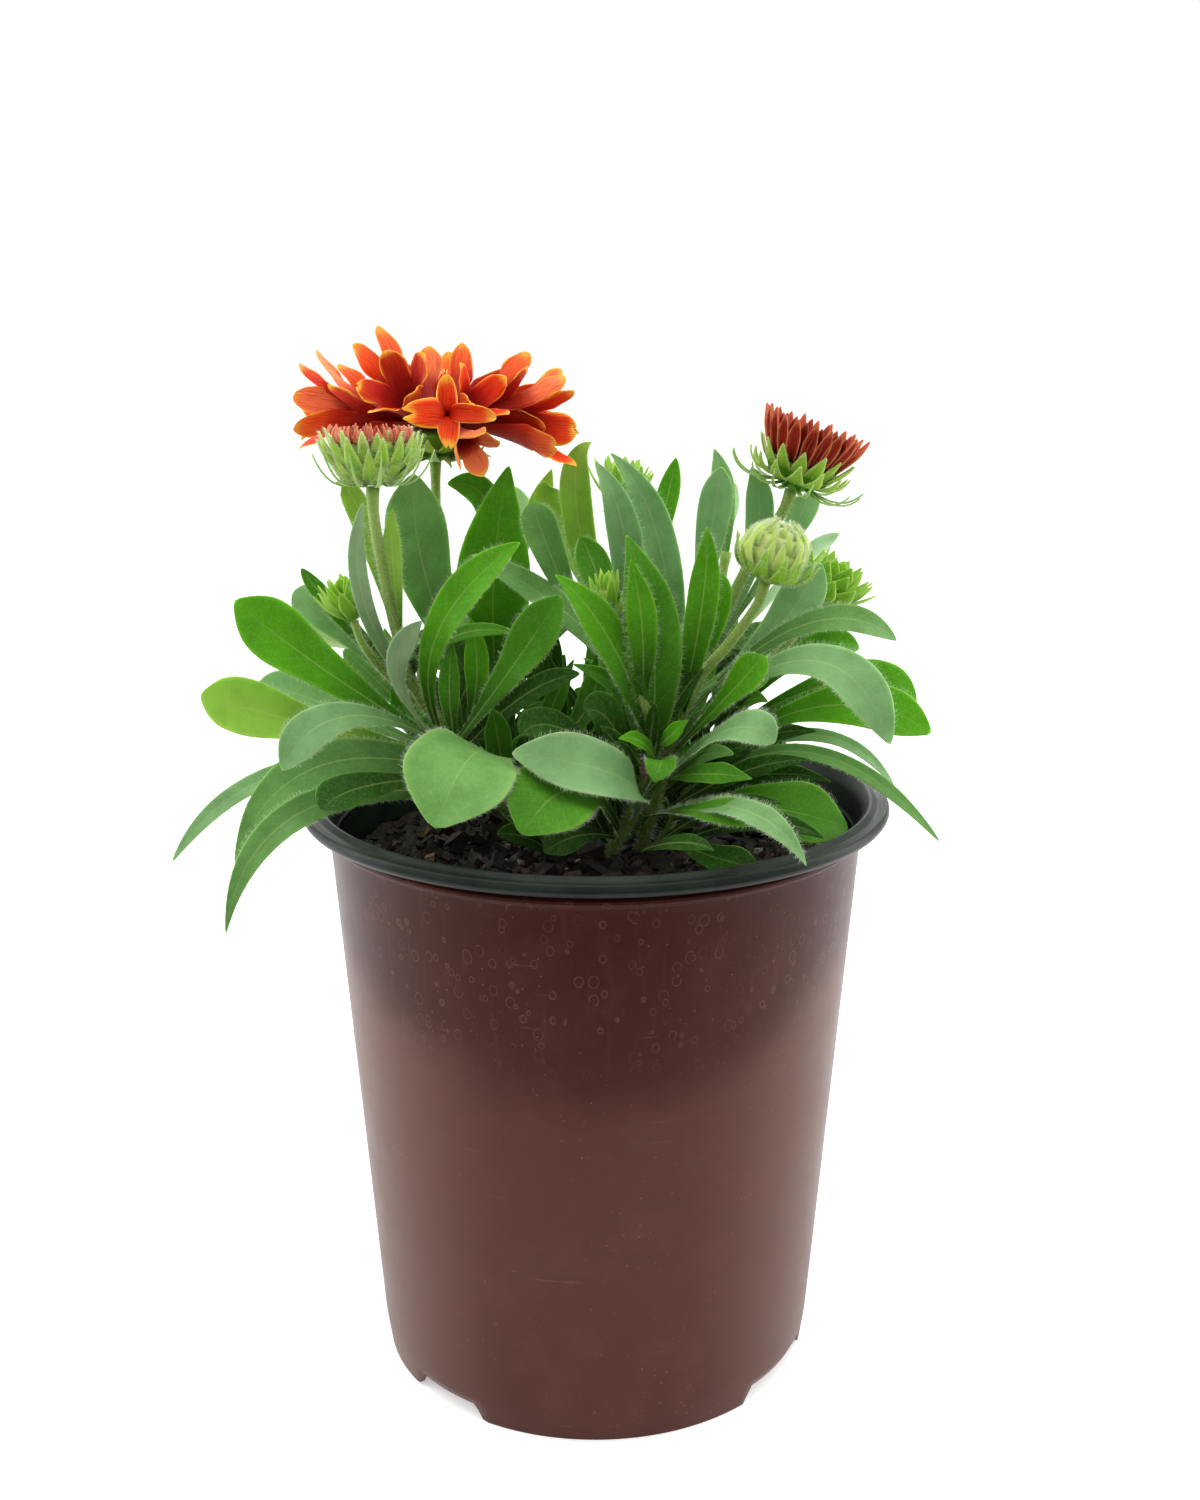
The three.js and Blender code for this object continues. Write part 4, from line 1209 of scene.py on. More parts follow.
@dataclass
class Route:
    """A smooth line through given places, measured by length.

    Between two places runs a cubic that leaves each with half the step between its neighbours.
    """

    places: list[Place]
    line: Array = field(init=False)
    measure: Array = field(init=False)

    SPAN_STEPS = 40

    def __post_init__(self) -> None:
        """Work out the line and the length along it."""
        knots = np.array(self.places, float)
        knots = np.vstack([2 * knots[0] - knots[1], knots, 2 * knots[-1] - knots[-2]])
        share = np.linspace(0, 1, self.SPAN_STEPS, endpoint=False)[:, None]
        spans = []
        for before, start, end, after in zip(knots, knots[1:], knots[2:], knots[3:]):
            leave, arrive = (end - before) / 2, (after - start) / 2
            square = 3 * (end - start) - 2 * leave - arrive
            cube = 2 * (start - end) + leave + arrive
            spans.append(start + leave * share + square * share**2 + cube * share**3)
        self.line = np.vstack([*spans, knots[-2:-1]])
        steps = np.linalg.norm(np.diff(self.line, axis=0), axis=-1)
        self.measure = np.concatenate([[0], np.cumsum(steps)])

    @property
    def length(self) -> float:
        """The whole length, in mm."""
        return float(self.measure[-1])

    def at(self, share: Array | float) -> Array:
        """Give the places at shares of the length."""
        return read(np.asarray(share, float) * self.length, self.measure, self.line)

    def above_soil(self, share: float) -> Array:
        """Give the place at a share of the length beyond the buried foot."""
        buried = ROOT_DEPTH / self.length
        return self.at(buried + share * (1 - buried))

    def heading(self, share: Array) -> Array:
        """Give the directions at shares of the length."""
        return unit(self.at(np.minimum(share + 0.01, 1)) - self.at(np.maximum(share - 0.01, 0)))


@dataclass(frozen=True)
class Stem:
    """A round ribbed stem along a route. Lengths in mm."""

    route: Route
    radius: float
    blush: float = 0.0
    woody: float = 0.12

    SIDES = 12
    RINGS_PER_MM = 0.4
    HAIRS_PER_MM = 18
    HAIR_LENGTH = 1.5
    GREEN = (118, 146, 62)
    TOP = (150, 178, 92)
    WOOD = (72, 58, 40)
    RED = (132, 44, 62)

    def ways(self, share: Array) -> tuple[Array, Array]:
        """Give two directions square to the stem at shares of its length."""
        return crosswise(self.route.heading(share), (0, 1, 0))

    def swell(self, share: Array) -> Array:
        """Give the radius at shares of the length: a little wider at the foot and under the head."""
        return self.radius * (1.06 - 0.36 * share + 0.18 * eased((share - 0.95) / 0.05))

    def skin(self) -> Skin:
        """Work out the stem: rings of radius r (1 + 0.07 cos 5a), closed at both ends.

        Returns:
            The stem.
        """
        rings = max(8, int(self.route.length * self.RINGS_PER_MM))
        share = np.concatenate([[0], np.linspace(0, 1, rings), [1]])
        angle = circle(self.SIDES)
        radius = self.swell(share)[:, None] * (1 + 0.07 * np.cos(5 * angle))
        radius[0], radius[-1] = 0, 0
        first, second = self.ways(share)
        around = first[:, None] * np.cos(angle)[..., None] + second[:, None] * np.sin(angle)[..., None]
        places = self.route.at(share)[:, None] + around * radius[..., None]
        grow = np.broadcast_to(share[:, None], radius.shape)
        tint = mixed(linear(self.GREEN), linear(self.TOP), eased((grow - 0.5) / 0.5))
        tint = mixed(tint, linear(self.WOOD), 1 - eased(grow / (2.2 * self.woody)))
        if self.blush:
            tint = mixed(tint, linear(self.RED), 0.9 * np.exp(-(((grow - self.blush) / 0.035) ** 2)))
        streak = 1 + 0.12 * np.cos(5 * angle + 7 * grow)
        return Skin.plain(places, grid_faces(len(share), self.SIDES, ring=True), tint * streak[..., None])

    def bristle(self, hairs: Hairs, dice: Dice) -> None:
        """Set hairs round the stem.

        Args:
            hairs: where they are kept.
            dice: the draws.
        """
        count = int(self.route.length * self.HAIRS_PER_MM)
        share = dice.uniform(0.1, 1, count)
        angle = dice.uniform(0, 2 * np.pi, (count, 1))
        first, second = self.ways(share)
        out = first * np.cos(angle) + second * np.sin(angle)
        base = self.route.at(share) + out * self.swell(share)[:, None]
        ways = out + dice.normal(0, 0.25, (count, 3))
        hairs.add(base, ways, self.HAIR_LENGTH * dice.uniform(0.5, 1.5, count))


# ---- leaves and shoots ----


class Leafage(Enum):
    """The greens of the leaves: bright young ones, greyer downy ones, and a dark green that paints the
    shade on those deep in the plant.
    """

    # each first colour, at the root, is darkened partly as painted shade
    VIVID = Tone((34, 78, 8), (86, 160, 8), (130, 180, 60), (146, 192, 56))
    YELLOW = Tone((84, 130, 26), (142, 184, 66), (164, 196, 104), (190, 206, 110))
    GREEN = Tone((38, 80, 10), (74, 138, 22), (112, 160, 76), (132, 172, 64))
    GREY = Tone((58, 100, 34), (106, 154, 80), (138, 178, 116), (152, 186, 106))
    PALE = Tone((88, 132, 64), (128, 171, 112), (166, 196, 152), (180, 204, 150))
    SILVER = Tone((112, 146, 84), (156, 184, 140), (176, 200, 164), (196, 212, 176))
    # painted shade: a dark green for leaves in the plant's shadowed depth
    SHADED = Tone((26, 52, 8), (40, 84, 14), (76, 120, 48), (72, 116, 40))


VIVID, YELLOW, GREEN, GREY, PALE, SILVER, SHADED = Leafage
SPOON, LANCE, STRAP = Outline.SPOON, Outline.LANCE, Outline.STRAP


@dataclass(frozen=True)
class Leaf:
    """A leaf: the share of its stem where it grows, then as a blade. Lengths in mm."""

    at: float
    over: Place
    tip: Place
    width: float
    green: Leafage = GREEN
    outline: Outline = SPOON
    face: Place = FRONT
    roll: float = 0.0
    rows: int = 24
    columns: int = 11

    FRINGE_PER_MM = 3.2
    FRINGE_LENGTH = 1.2
    WIDE = 11

    def grow(self, root: Place, dice: Dice, hairs: Hairs) -> Skin:
        """Work out the leaf and set its hairs.

        Args:
            root: where it leaves the stem.
            dice: the draws.
            hairs: where its hairs are kept.

        Returns:
            The leaf.
        """
        blade = Blade(
            root, self.over, self.tip, self.width, self.outline, self.face, self.roll,
            channel=0.16 if self.width > self.WIDE else 0.22,
            wave=0.03 * self.width * dice.uniform(0.5, 1.5),
            twist=dice.uniform(-7, 7),
            rib=0.55, rows=self.rows, columns=self.columns,
        )
        sheet = blade.sheet(dice.uniform(0, 2 * np.pi))
        shade = dice.uniform(0.9, 1.1)
        if self.green is not SHADED:
            hairs.fringe(sheet, dice, self.FRINGE_PER_MM, self.FRINGE_LENGTH)
        return sheet.closed(self.green.value, shade)


class Perches:
    """Perches of the flower heads and buds."""

    BLOOM = Perch((-44.4, 16, 257.6), (0.03, -0.06, 1))
    CLOSED = Perch((-55.5, -36, 256), (0, 0.03, 1))
    OPEN = Perch((53, -2, 251.5), (0.34, -0.04, 0.94))
    RIGHT_BUD = Perch((44, -28, 230.5), (0.3, -0.12, 1))
    FAR_RIGHT_BUD = Perch((62, 8, 219), (0.5, -0.1, 0.85))
    CENTRE_BUD = Perch((4, -30, 220.5), (-0.1, -0.1, 1))
    SMALL_LEFT_BUD = Perch((-66, -4, 216), (-0.3, 0, 0.95))
    REAR_BUD = Perch((7, 45, 242.5), (0.05, 0, 1))


@dataclass(frozen=True)
class Branch:
    """A side stem that carries a small bud."""

    at: float
    route: tuple[Place, ...]
    head: Perch
    radius: float
    woody: float = 0.01


@dataclass(frozen=True)
class Shoot:
    """A leafy stem: its route up from the soil, its leaves and what it carries. Lengths in mm."""

    name: str
    route: tuple[Place, ...]
    radius: float
    leaves: tuple[Leaf, ...]
    head: Perch | None = None
    branches: tuple[Branch, ...] = ()
    blush: float = 0.0

    def line(self) -> Route:
        """Give the stem's line, from its buried foot to just under its head."""
        x, y, _ = self.route[0]
        return Route([(x, y, SOIL_Z - ROOT_DEPTH), *self.route, *(self.head.neck() if self.head else [])])

    def add(self, nursery: Nursery, seed: int) -> None:
        """Add the stems, the leaves and their hairs to the plant.

        Args:
            nursery: sets them in the frame.
            seed: starts the draws.
        """
        dice = np.random.default_rng(seed)
        hairs = Hairs()
        line = self.line()
        stems = [Stem(line, self.radius, blush=self.blush)]
        for branch in self.branches:
            route = Route([line.above_soil(branch.at), *branch.route, *branch.head.neck()])
            stems.append(Stem(route, branch.radius, woody=branch.woody))
        for stem in stems:
            stem.bristle(hairs, dice)
        leaves = [leaf.grow(line.above_soil(leaf.at), dice, hairs) for leaf in self.leaves]
        body = Skin.joined([*(stem.skin() for stem in stems), *leaves])
        nursery.place(f"{self.name}_leaves", body, Finish.LEAF, node=self.name)
        down = hairs.skin(HAIR_RADIUS, HAIR_TINT)
        nursery.place(f"{self.name}_down", down, Finish.DOWN, Finish.LEAF, weld=False)


SHOOTS = (
    Shoot("left_rosette", ((-12, 2, 147), (-27, -4, 166), (-41, -10, 182)), 2.2, (
        Leaf(0.95, (-73, -14, 204), (-95, -20, 224), 17, VIVID),
        Leaf(0.86, (-80, -16, 190), (-105, -22, 199), 16, YELLOW),
        Leaf(0.8, (-74, 2, 190), (-95, 6, 196), 11, PALE),
        Leaf(0.97, (-64, -34, 196), (-80, -44, 184), 12, PALE),
        Leaf(0.92, (-52, -25, 203), (-45, -28, 220), 7, SILVER, roll=40),
        Leaf(0.62, (-72, -22, 180), (-97, -28, 154), 13.5, GREY, LANCE),
        Leaf(0.45, (-74, -36, 172), (-96, -48, 141), 9, GREY, LANCE),
        Leaf(0.55, (-84, 2, 172), (-121, 0, 145), 6.5, PALE, STRAP),
        Leaf(0.7, (-58, -36, 178), (-69, -50, 175), 11, SHADED),
        Leaf(0.5, (-30, -40, 188), (-39, -68, 176), 28, GREY),
        Leaf(1, (-42, -26, 214), (-19, -32, 241), 11, VIVID),
        Leaf(0.96, (-23, -15, 204), (-9, -19, 225), 13, GREEN),
        Leaf(0.9, (-20, -12, 196), (-4, -19, 204), 7, SHADED, STRAP),
    )),
    Shoot("left_head_stem", (
        (-14, 11, 147), (-30, 8, 170), (-48, 0, 192), (-53, -14, 214), (-55, -29, 237),
    ), 1.9, (
        Leaf(0.34, (-70, 8, 210), (-85, 10, 221), 11, PALE),
        Leaf(0.4, (-72, 4, 217), (-81, 4, 229), 5, GREEN, LANCE),
        Leaf(0.45, (-61, -17, 222), (-60, -22, 250), 5, SILVER, STRAP),
        Leaf(0.6, (-64, 6, 242), (-71, 6, 252), 7, YELLOW, LANCE),
        Leaf(0.6, (-52, -28, 235), (-51, -34, 250), 5, YELLOW, LANCE),
    ), Perches.CLOSED, (Branch(0.36, ((-58, 0, 200),), Perches.SMALL_LEFT_BUD, 1.4),)),
    Shoot("bloom_stem", ((-8, 20, 147), (-24, 22, 172), (-42, 20, 206), (-44.5, 18, 238)), 1.8, (
        Leaf(0.3, (-45, 4, 220), (-49, 2, 255), 17, GREY),
        Leaf(0.3, (-29, 14, 218), (-24, 15, 256), 21, VIVID, LANCE),
        Leaf(0.6, (-31, 30, 240), (-43, 34, 249), 9),
    ), Perches.BLOOM),
    Shoot("centre_shoot", ((4, -2, 147), (12, -14, 168), (15, -24, 189), (11, -29, 202)), 1.9, (
        Leaf(0.12, (-5, -40, 178), (-18, -64, 173), 22, GREEN),
        Leaf(0.2, (8, -39, 180), (-21, -49, 190), 16, PALE),
        Leaf(0.1, (-4, -16, 158), (-14, -22, 155), 9, SHADED),
        Leaf(0.5, (1, 2, 208), (-34, 2, 233), 9, GREY),
        Leaf(0.35, (-8, -17, 188), (-20, -23, 188), 10, SHADED),
        Leaf(0.3, (5, -14, 188), (-3, -16, 193), 12, SHADED),
        Leaf(0.55, (4, -36, 216), (-10, -40, 234), 10, VIVID, LANCE),
        Leaf(0.8, (1, -22, 230), (-4, -20, 241), 9, GREEN, LANCE),
        Leaf(0.72, (12, -37, 220), (9, -41, 238), 8, VIVID, LANCE),
        Leaf(0.45, (15, -33, 214), (8, -33, 243), 15, GREEN, LANCE),
        Leaf(0.3, (17, -35, 184), (15, -44, 181), 8, GREEN),
    ), Perches.CENTRE_BUD, blush=0.52),
    Shoot("right_bud_stem", (
        (13, 4, 147), (18, -6, 168), (22, -16, 188), (28, -23, 204), (35.5, -25.5, 214),
    ), 1.8, (
        Leaf(0.5, (27, -37, 224), (28, -40, 246), 8, VIVID, LANCE),
        Leaf(0.6, (47, -16, 214), (60, -13, 233), 12, PALE),
        Leaf(0.5, (54, -20, 217), (82, -8, 211), 8, GREY),
        Leaf(0.42, (53, -40, 212), (74, -52, 193), 12.5, PALE),
        Leaf(0.38, (35, -34, 202), (43, -38, 213), 9, VIVID),
        Leaf(0.28, (33, -50, 196), (44, -62, 196), 10, PALE),
        Leaf(0.15, (27, -46, 174), (43, -60, 176), 8, GREEN),
        Leaf(0.14, (36, -62, 179), (51, -76, 169), 7, PALE, LANCE),
    ), Perches.RIGHT_BUD),
    Shoot("right_head_stem", (
        (10, 14, 147), (20, 12, 172), (27, 8, 194), (34, 4, 212), (42, 1, 230),
    ), 1.9, (
        Leaf(0.32, (30, -8, 212), (31, -8, 231), 11, VIVID),
        Leaf(0.4, (31, 10, 230), (35, 12, 256), 9.5, PALE),
        Leaf(0.45, (44, 12, 230), (43, 11, 256), 8, PALE),
        Leaf(0.5, (54, 16, 235), (59, 20, 248), 8, PALE),
        Leaf(0.28, (19, 12, 230), (4, 10, 260), 10, PALE, LANCE),
    ), Perches.OPEN),
    Shoot("far_right_shoot", ((19, 9, 147), (30, 12, 170), (42, 11, 190), (53, 10, 205)), 1.7, (
        Leaf(0.45, (57, 4, 204), (74, 6, 206), 9, VIVID),
        Leaf(0.4, (66, 0, 197), (90, 2, 191), 14, VIVID),
        Leaf(0.32, (62, -10, 193), (91, -16, 187), 14, VIVID),
        Leaf(0.25, (60, 2, 182), (86, 8, 165), 4.5, PALE, STRAP),
        Leaf(0.16, (58, -10, 180), (95, -16, 156), 5, GREY, STRAP),
        Leaf(0.1, (42, -22, 168), (68, -26, 163), 18, GREEN),
        Leaf(0.05, (28, -38, 160), (42, -54, 161), 9, SHADED),
        Leaf(0.5, (64, 32, 204), (86, 44, 204), 13, VIVID, face=BACK),
    ), Perches.FAR_RIGHT_BUD),
    Shoot("rear_centre_shoot", ((3, 23, 147), (8, 29, 175), (10, 35, 204)), 1.8, (
        Leaf(0.4, (-5, 19, 241), (-1, 20, 262), 9, YELLOW, LANCE),
        Leaf(0.35, (-10, 8, 226), (-17, 6, 247), 10, GREY),
        Leaf(0.35, (9, 4, 231), (0, 5, 258), 9.5, PALE, LANCE),
        Leaf(0.5, (-10, 38, 233), (-14, 38, 249), 8, YELLOW),
        Leaf(0.6, (20, 48, 238), (24, 52, 255), 7, VIVID, LANCE),
        Leaf(0.3, (8, 64, 188), (4, 92, 180), 15, GREEN, face=BACK),
        Leaf(0.5, (12, 62, 218), (15, 78, 236), 11, VIVID, face=BACK),
        Leaf(0.4, (-6, 58, 206), (-12, 76, 216), 11, GREEN, face=BACK),
    ), Perches.REAR_BUD),
    Shoot("rear_left_shoot", ((-6, 30, 147), (-16, 34, 172), (-25, 37, 203), (-21, 42, 232)), 1.9, (
        Leaf(0.35, (-46, 56, 190), (-72, 72, 188), 15, VIVID, face=BACK),
        Leaf(0.3, (-22, 66, 192), (-30, 94, 188), 15, GREEN, face=BACK),
        Leaf(0.5, (-43, 50, 216), (-62, 58, 236), 12, GREEN, face=BACK),
        Leaf(0.6, (-24, 60, 222), (-25, 74, 244), 11, GREY, face=BACK),
        Leaf(0.2, (-40, 62, 178), (-58, 84, 158), 12, GREY, face=BACK),
        Leaf(0.45, (-60, 30, 200), (-90, 34, 204), 14, YELLOW, face=BACK),
        Leaf(0.95, (-17, 45, 240), (-13, 48, 252), 7, YELLOW, LANCE),
    )),
    Shoot("rear_right_shoot", ((14, 25, 147), (25, 33, 172), (34, 39, 200), (39, 43, 228)), 1.9, (
        Leaf(0.3, (50, 62, 190), (74, 78, 184), 15, VIVID, face=BACK),
        Leaf(0.4, (33, 66, 198), (36, 92, 196), 14, YELLOW, face=BACK),
        Leaf(0.55, (56, 50, 216), (74, 54, 232), 12, PALE, face=BACK),
        Leaf(0.75, (40, 56, 230), (43, 66, 246), 10, GREY, face=BACK),
        Leaf(0.2, (36, 66, 176), (50, 92, 158), 12, GREY, face=BACK),
        Leaf(0.95, (38, 46, 244), (35, 48, 258), 7, PALE, LANCE),
    )),
)


@dataclass(frozen=True)
class Undergrowth:
    """Slim leaves deep in the plant, between the shoots, over half in the dark green of painted shade.
    Lengths in mm, angles in radians.
    """

    count: int = 150
    seed: int = 401
    reach: Span = (54.0, 36.0)
    top: float = 212.0
    widths: Span = (3.5, 8.0)
    placed: tuple[tuple, ...] = (
        ((17, -30, 187), (20, -34, 191), (24, -38, 196), 5, VIVID),
        ((20, -22, 176), (29, -40, 182), (40, -48, 183), 7, GREEN),
        ((-39, -8, 185), (-40, -8, 197), (-39, -6, 211), 6, GREEN),
        ((-26, -6, 183), (-25, -6, 194), (-21, -2, 206), 6, VIVID),
        ((-16, 2, 179), (-12, 4, 190), (-6, 6, 203), 6, GREEN),
        ((-49, 0, 193), (-55, 4, 201), (-59, 6, 212), 6, YELLOW),
        ((27, 4, 192), (31, 8, 205), (36, 10, 221), 9, GREEN),
        ((50, 14, 200), (61, 20, 210), (71, 22, 218), 8, GREY),
        ((12, -6, 186), (6, -2, 198), (2, 2, 211), 8, GREEN),
        ((-48, 6, 181), (-60, 12, 193), (-72, 14, 204), 9, GREY, SPOON),
        ((-10, -4, 182), (-1, 0, 193), (1, 4, 207), 8, GREEN),
        ((4, -10, 182), (8, -10, 195), (15, -8, 206), 8, GREEN),
        ((16, -26, 182), (12, -34, 189), (6, -38, 191), 5, VIVID),
        ((-35, 0, 187), (-33, 2, 201), (-35, 6, 215), 7, VIVID),
        ((29, -10, 189), (38, -8, 197), (48, -6, 203), 8, VIVID, SPOON),
        ((-40, 8, 172), (-44, 10, 185), (-47, 12, 199), 9, SHADED),
        ((-33, 10, 172), (-36, 12, 185), (-38, 14, 200), 9, GREEN),
        ((-47, 4, 177), (-53, 8, 186), (-58, 10, 195), 8, GREEN),
        ((-26, 10, 174), (-27, 14, 188), (-26, 16, 204), 9, SHADED),
        ((-10, 12, 177), (-12, 14, 189), (-14, 16, 203), 8, SHADED),
        ((-2, 14, 176), (1, 16, 192), (-2, 18, 208), 9, GREEN),
        ((13, 10, 190), (16, 12, 202), (13, 14, 218), 8, GREEN),
        ((30, 14, 192), (35, 16, 204), (41, 18, 217), 8, GREY),
        ((47, 18, 194), (55, 20, 201), (63, 22, 206), 8, VIVID),
        ((18, -20, 158), (34, -36, 172), (48, -46, 176), 5, SHADED),
        ((20, -6, 162), (40, -16, 176), (58, -22, 181), 6, SHADED),
        ((12, -30, 158), (22, -48, 166), (30, -58, 167), 5, SHADED),
        ((22, 4, 164), (42, 0, 180), (62, -2, 184), 7, SHADED),
        ((24, -14, 156), (44, -30, 166), (60, -38, 164), 6, SHADED),
        ((26, 6, 160), (46, 2, 170), (66, -4, 170), 7, SHADED),
    )

    # over half are drawn in the dark green of painted shade
    GREENS = (SHADED, GREEN, GREY)
    SHARES = (0.55, 0.35, 0.1)

    @staticmethod
    def sprig(
        root: Place, over: Place, tip: Place, width: float, green: Leafage, outline: Outline = LANCE
    ) -> tuple[Place, Leaf]:
        """Give a placed leaf, with where it grows."""
        return root, Leaf(0, over, tip, width, green, outline)

    def slim(self, route: Route, dice: Dice) -> tuple[Place, Leaf]:
        """Draw one slim leaf of a stem.

        Args:
            route: the stem's line.
            dice: the draws.

        Returns:
            Where it grows, and the leaf.
        """
        root = route.at(dice.uniform(0.14, 0.6))
        azimuth, rise = dice.uniform(0, 2 * np.pi), dice.uniform(0.45, 1.25)
        tip = root + polar(math.cos(rise), azimuth, math.sin(rise)) * dice.uniform(20, 44)
        far = max(1, math.hypot(tip[0] / self.reach[0], tip[1] / self.reach[1]))
        tip = np.array([tip[0] / far, tip[1] / far, min(tip[2], self.top)])
        over = (root + tip) / 2 + np.array([0, 0, dice.uniform(1, 6)])
        green = self.GREENS[dice.choice(3, p=self.SHARES)]
        outline = (STRAP, LANCE)[dice.integers(2)]
        width = dice.uniform(*self.widths)
        return root, Leaf(0, over, tip, width, green, outline, rows=14, columns=7)

    def add(self, nursery: Nursery) -> None:
        """Add the leaves to the plant. Their hairs are too deep in it to be seen, and are left off.

        Args:
            nursery: sets them in the frame.
        """
        dice = np.random.default_rng(self.seed)
        routes = [shoot.line() for shoot in SHOOTS]
        drawn = [self.slim(routes[dice.integers(len(routes))], dice) for _ in range(self.count)]
        leaves, left_off = [*(self.sprig(*row) for row in self.placed), *drawn], Hairs()
        skin = Skin.joined(leaf.grow(root, dice, left_off) for root, leaf in leaves)
        nursery.place("undergrowth_leaves", skin, Finish.LEAF)


# ---- heads and buds ----


@dataclass(frozen=True)
class BladeRing:
    """Blades in a ring round a head's axis. Places are (radius, height) in mm, angles in degrees."""

    count: int
    root: Span
    over: Span
    tip: Span
    width: float
    tone: Tone
    seed: int = 1
    start: float = 0.0
    jitter: float = 0.0
    face: float = 0.0
    outline: Outline = Outline.BRACT
    channel: float = -0.16
    thickness: float = 0.45
    rows: int = 9
    columns: int = 7
    hairs: int = 0
    hair_length: float = 1.0

    SWING = 40
    LIFT = 6
    FRINGE_SHARE = 0.2

    def grow(self, dice: Dice, down: Hairs) -> Skin:
        """Work out the ring, in the head's own frame.

        Args:
            dice: draws for shades and hairs.
            down: where the hairs are kept.

        Returns:
            The blades.
        """
        draws = Draws(self.seed)
        skins = []
        for index in range(self.count):
            swing = self.jitter * self.SWING * draws.next()
            angle = math.radians(self.start + 360 / self.count * index + swing)
            stretch = 1 + self.jitter * draws.next()
            lift = self.jitter * self.LIFT * draws.next()
            tilt = math.radians(self.face)
            blade = Blade(
                polar(self.root[0], angle, self.root[1]),
                polar(self.over[0] * stretch, angle, self.over[1] + 0.4 * lift),
                polar(self.tip[0] * stretch, angle, self.tip[1] + lift),
                self.width * dice.uniform(0.9, 1.1),
                self.outline,
                polar(math.cos(tilt), angle, math.sin(tilt)),
                channel=self.channel, thickness=self.thickness, twist=dice.uniform(-10, 10),
                rows=self.rows, columns=self.columns,
            )
            sheet = blade.sheet(dice.uniform(0, 2 * np.pi))
            skins.append(sheet.closed(self.tone, dice.uniform(0.88, 1.1)))
            if self.hairs:
                down.nap(sheet, dice, self.hairs, self.hair_length)
                per_mm = self.FRINGE_SHARE * self.hairs / sheet.length
                down.fringe(sheet, dice, per_mm, self.hair_length)
        return Skin.joined(skins)


def spindles(bases: Array, ways: Array, lengths: Array, radius: float, low: Tint, high: Tint) -> Skin:
    """Stand small closed bodies on a surface: florets, each widest two thirds of the way up.

    Args:
        bases: where each stands, in mm.
        ways: which way each points.
        lengths: how tall each is.
        radius: how wide each is.
        low: screen colour at the foot.
        high: screen colour at the top.

    Returns:
        The florets.
    """
    sides = 5
    heights = np.array([0, 0, 0.65, 0.95, 1])
    widths = np.array([0, 0.7, 1, 0.55, 0])
    first, second = crosswise(ways, FLORET_GUIDE)
    angle = circle(sides)[..., None]
    around = first[:, None] * np.cos(angle) + second[:, None] * np.sin(angle)
    rise = bases[:, None] + ways[:, None] * (lengths[:, None] * heights)[..., None]
    places = rise[:, :, None] + around[:, None] * (radius * widths)[None, :, None, None]
    body = grid_faces(len(heights), sides, ring=True)
    faces = (np.arange(len(bases))[:, None, None] * len(heights) * sides + body[None]).reshape(-1, 4)
    tint = mixed(linear(low), linear(high), eased((heights - 0.5) / 0.5))
    return Skin.plain(places, faces, np.tile(np.repeat(tint, sides, axis=0), (len(bases), 1)))


@dataclass(frozen=True)
class Disc:
    """A dome of disc florets set by the golden angle. Lengths in mm."""

    radius: float
    low: float
    height: float
    count: int
    floret: float
    foot: Tint
    ring: Tint
    top: Tint

    GOLDEN = math.radians(137.508)

    def rise(self, share: Array | float) -> Array:
        """Give the dome's height at shares of its radius: h (1 - (0.94 s)^2)^0.5."""
        return self.low + self.height * np.sqrt(1 - (0.94 * share) ** 2)

    def skin(self) -> Skin:
        """Work out the dome and its florets, those near the rim open and tipped.

        Returns:
            The disc.
        """
        share = np.linspace(1, 0, 9)
        profile = [(0, self.low), (self.radius, self.low)]
        profile += [(self.radius * s * 0.97, self.rise(s) - 0.3) for s in share]
        spread = np.sqrt((np.arange(self.count) + 0.5) / self.count)
        angle = np.arange(self.count) * self.GOLDEN
        bases = polar(self.radius * 0.93 * spread, angle, self.rise(spread) - 0.5)
        ways = unit(polar(0.75 * spread, angle, 1))
        tall = self.floret * (1.5 + 0.9 * eased((spread - 0.35) / 0.4))
        inner = spread < 0.55
        groups = [
            spindles(bases[chosen], ways[chosen], tall[chosen], self.floret * 0.52, self.foot, tip)
            for chosen, tip in ((inner, self.ring), (~inner, self.top))
        ]
        return Skin.joined([turned_body(profile, self.foot, waist=1), *groups])

    def add(self, nursery: Nursery, node: str, seat: Perch) -> None:
        """Add the disc to a head on its seat, in place of a solid."""
        nursery.place(f"{node}_florets", self.skin().seated(seat), Finish.DISC_FLORET, node=node)


CUP_GREEN: Tint = (92, 146, 30)
BRACT_TONE = Tone((88, 148, 20), (152, 194, 58), (172, 204, 98), (212, 222, 136), 0.65, 0.66, 0.55, 0.6)
LOW_BRACT_TONE = Tone((96, 150, 50), (140, 180, 92), (164, 196, 124), (196, 214, 152), 0.4, 0.8, 0.5)
YOUNG_TONE = Tone((124, 178, 36), (190, 218, 98), (200, 224, 124), (222, 236, 160), 0.5, 0.6, 0.6, 0.6)
BUD_TONE = Tone((98, 152, 26), (134, 186, 40), (162, 198, 84), (190, 214, 104), 0.6, 0.75, 0.5, 0.3)
PINK_TONE = Tone((222, 150, 110), (222, 128, 102), (228, 160, 130), (240, 196, 160), 0.3, 0.7, 0.5, 0.4)
RED_TONE = Tone((130, 36, 24), (180, 58, 40), (204, 100, 76), (222, 150, 120), 0.3, 0.7, 0.4, 0.3)
BRICK_TONE = Tone((120, 26, 18), (164, 44, 26), (184, 74, 48), (230, 150, 100), 0.4, 0.66, 0.8, 0.7)
DEEP_TONE = Tone((96, 16, 14), (132, 28, 20), (160, 52, 36), (206, 116, 80), 0.4, 0.72, 0.7, 0.5)
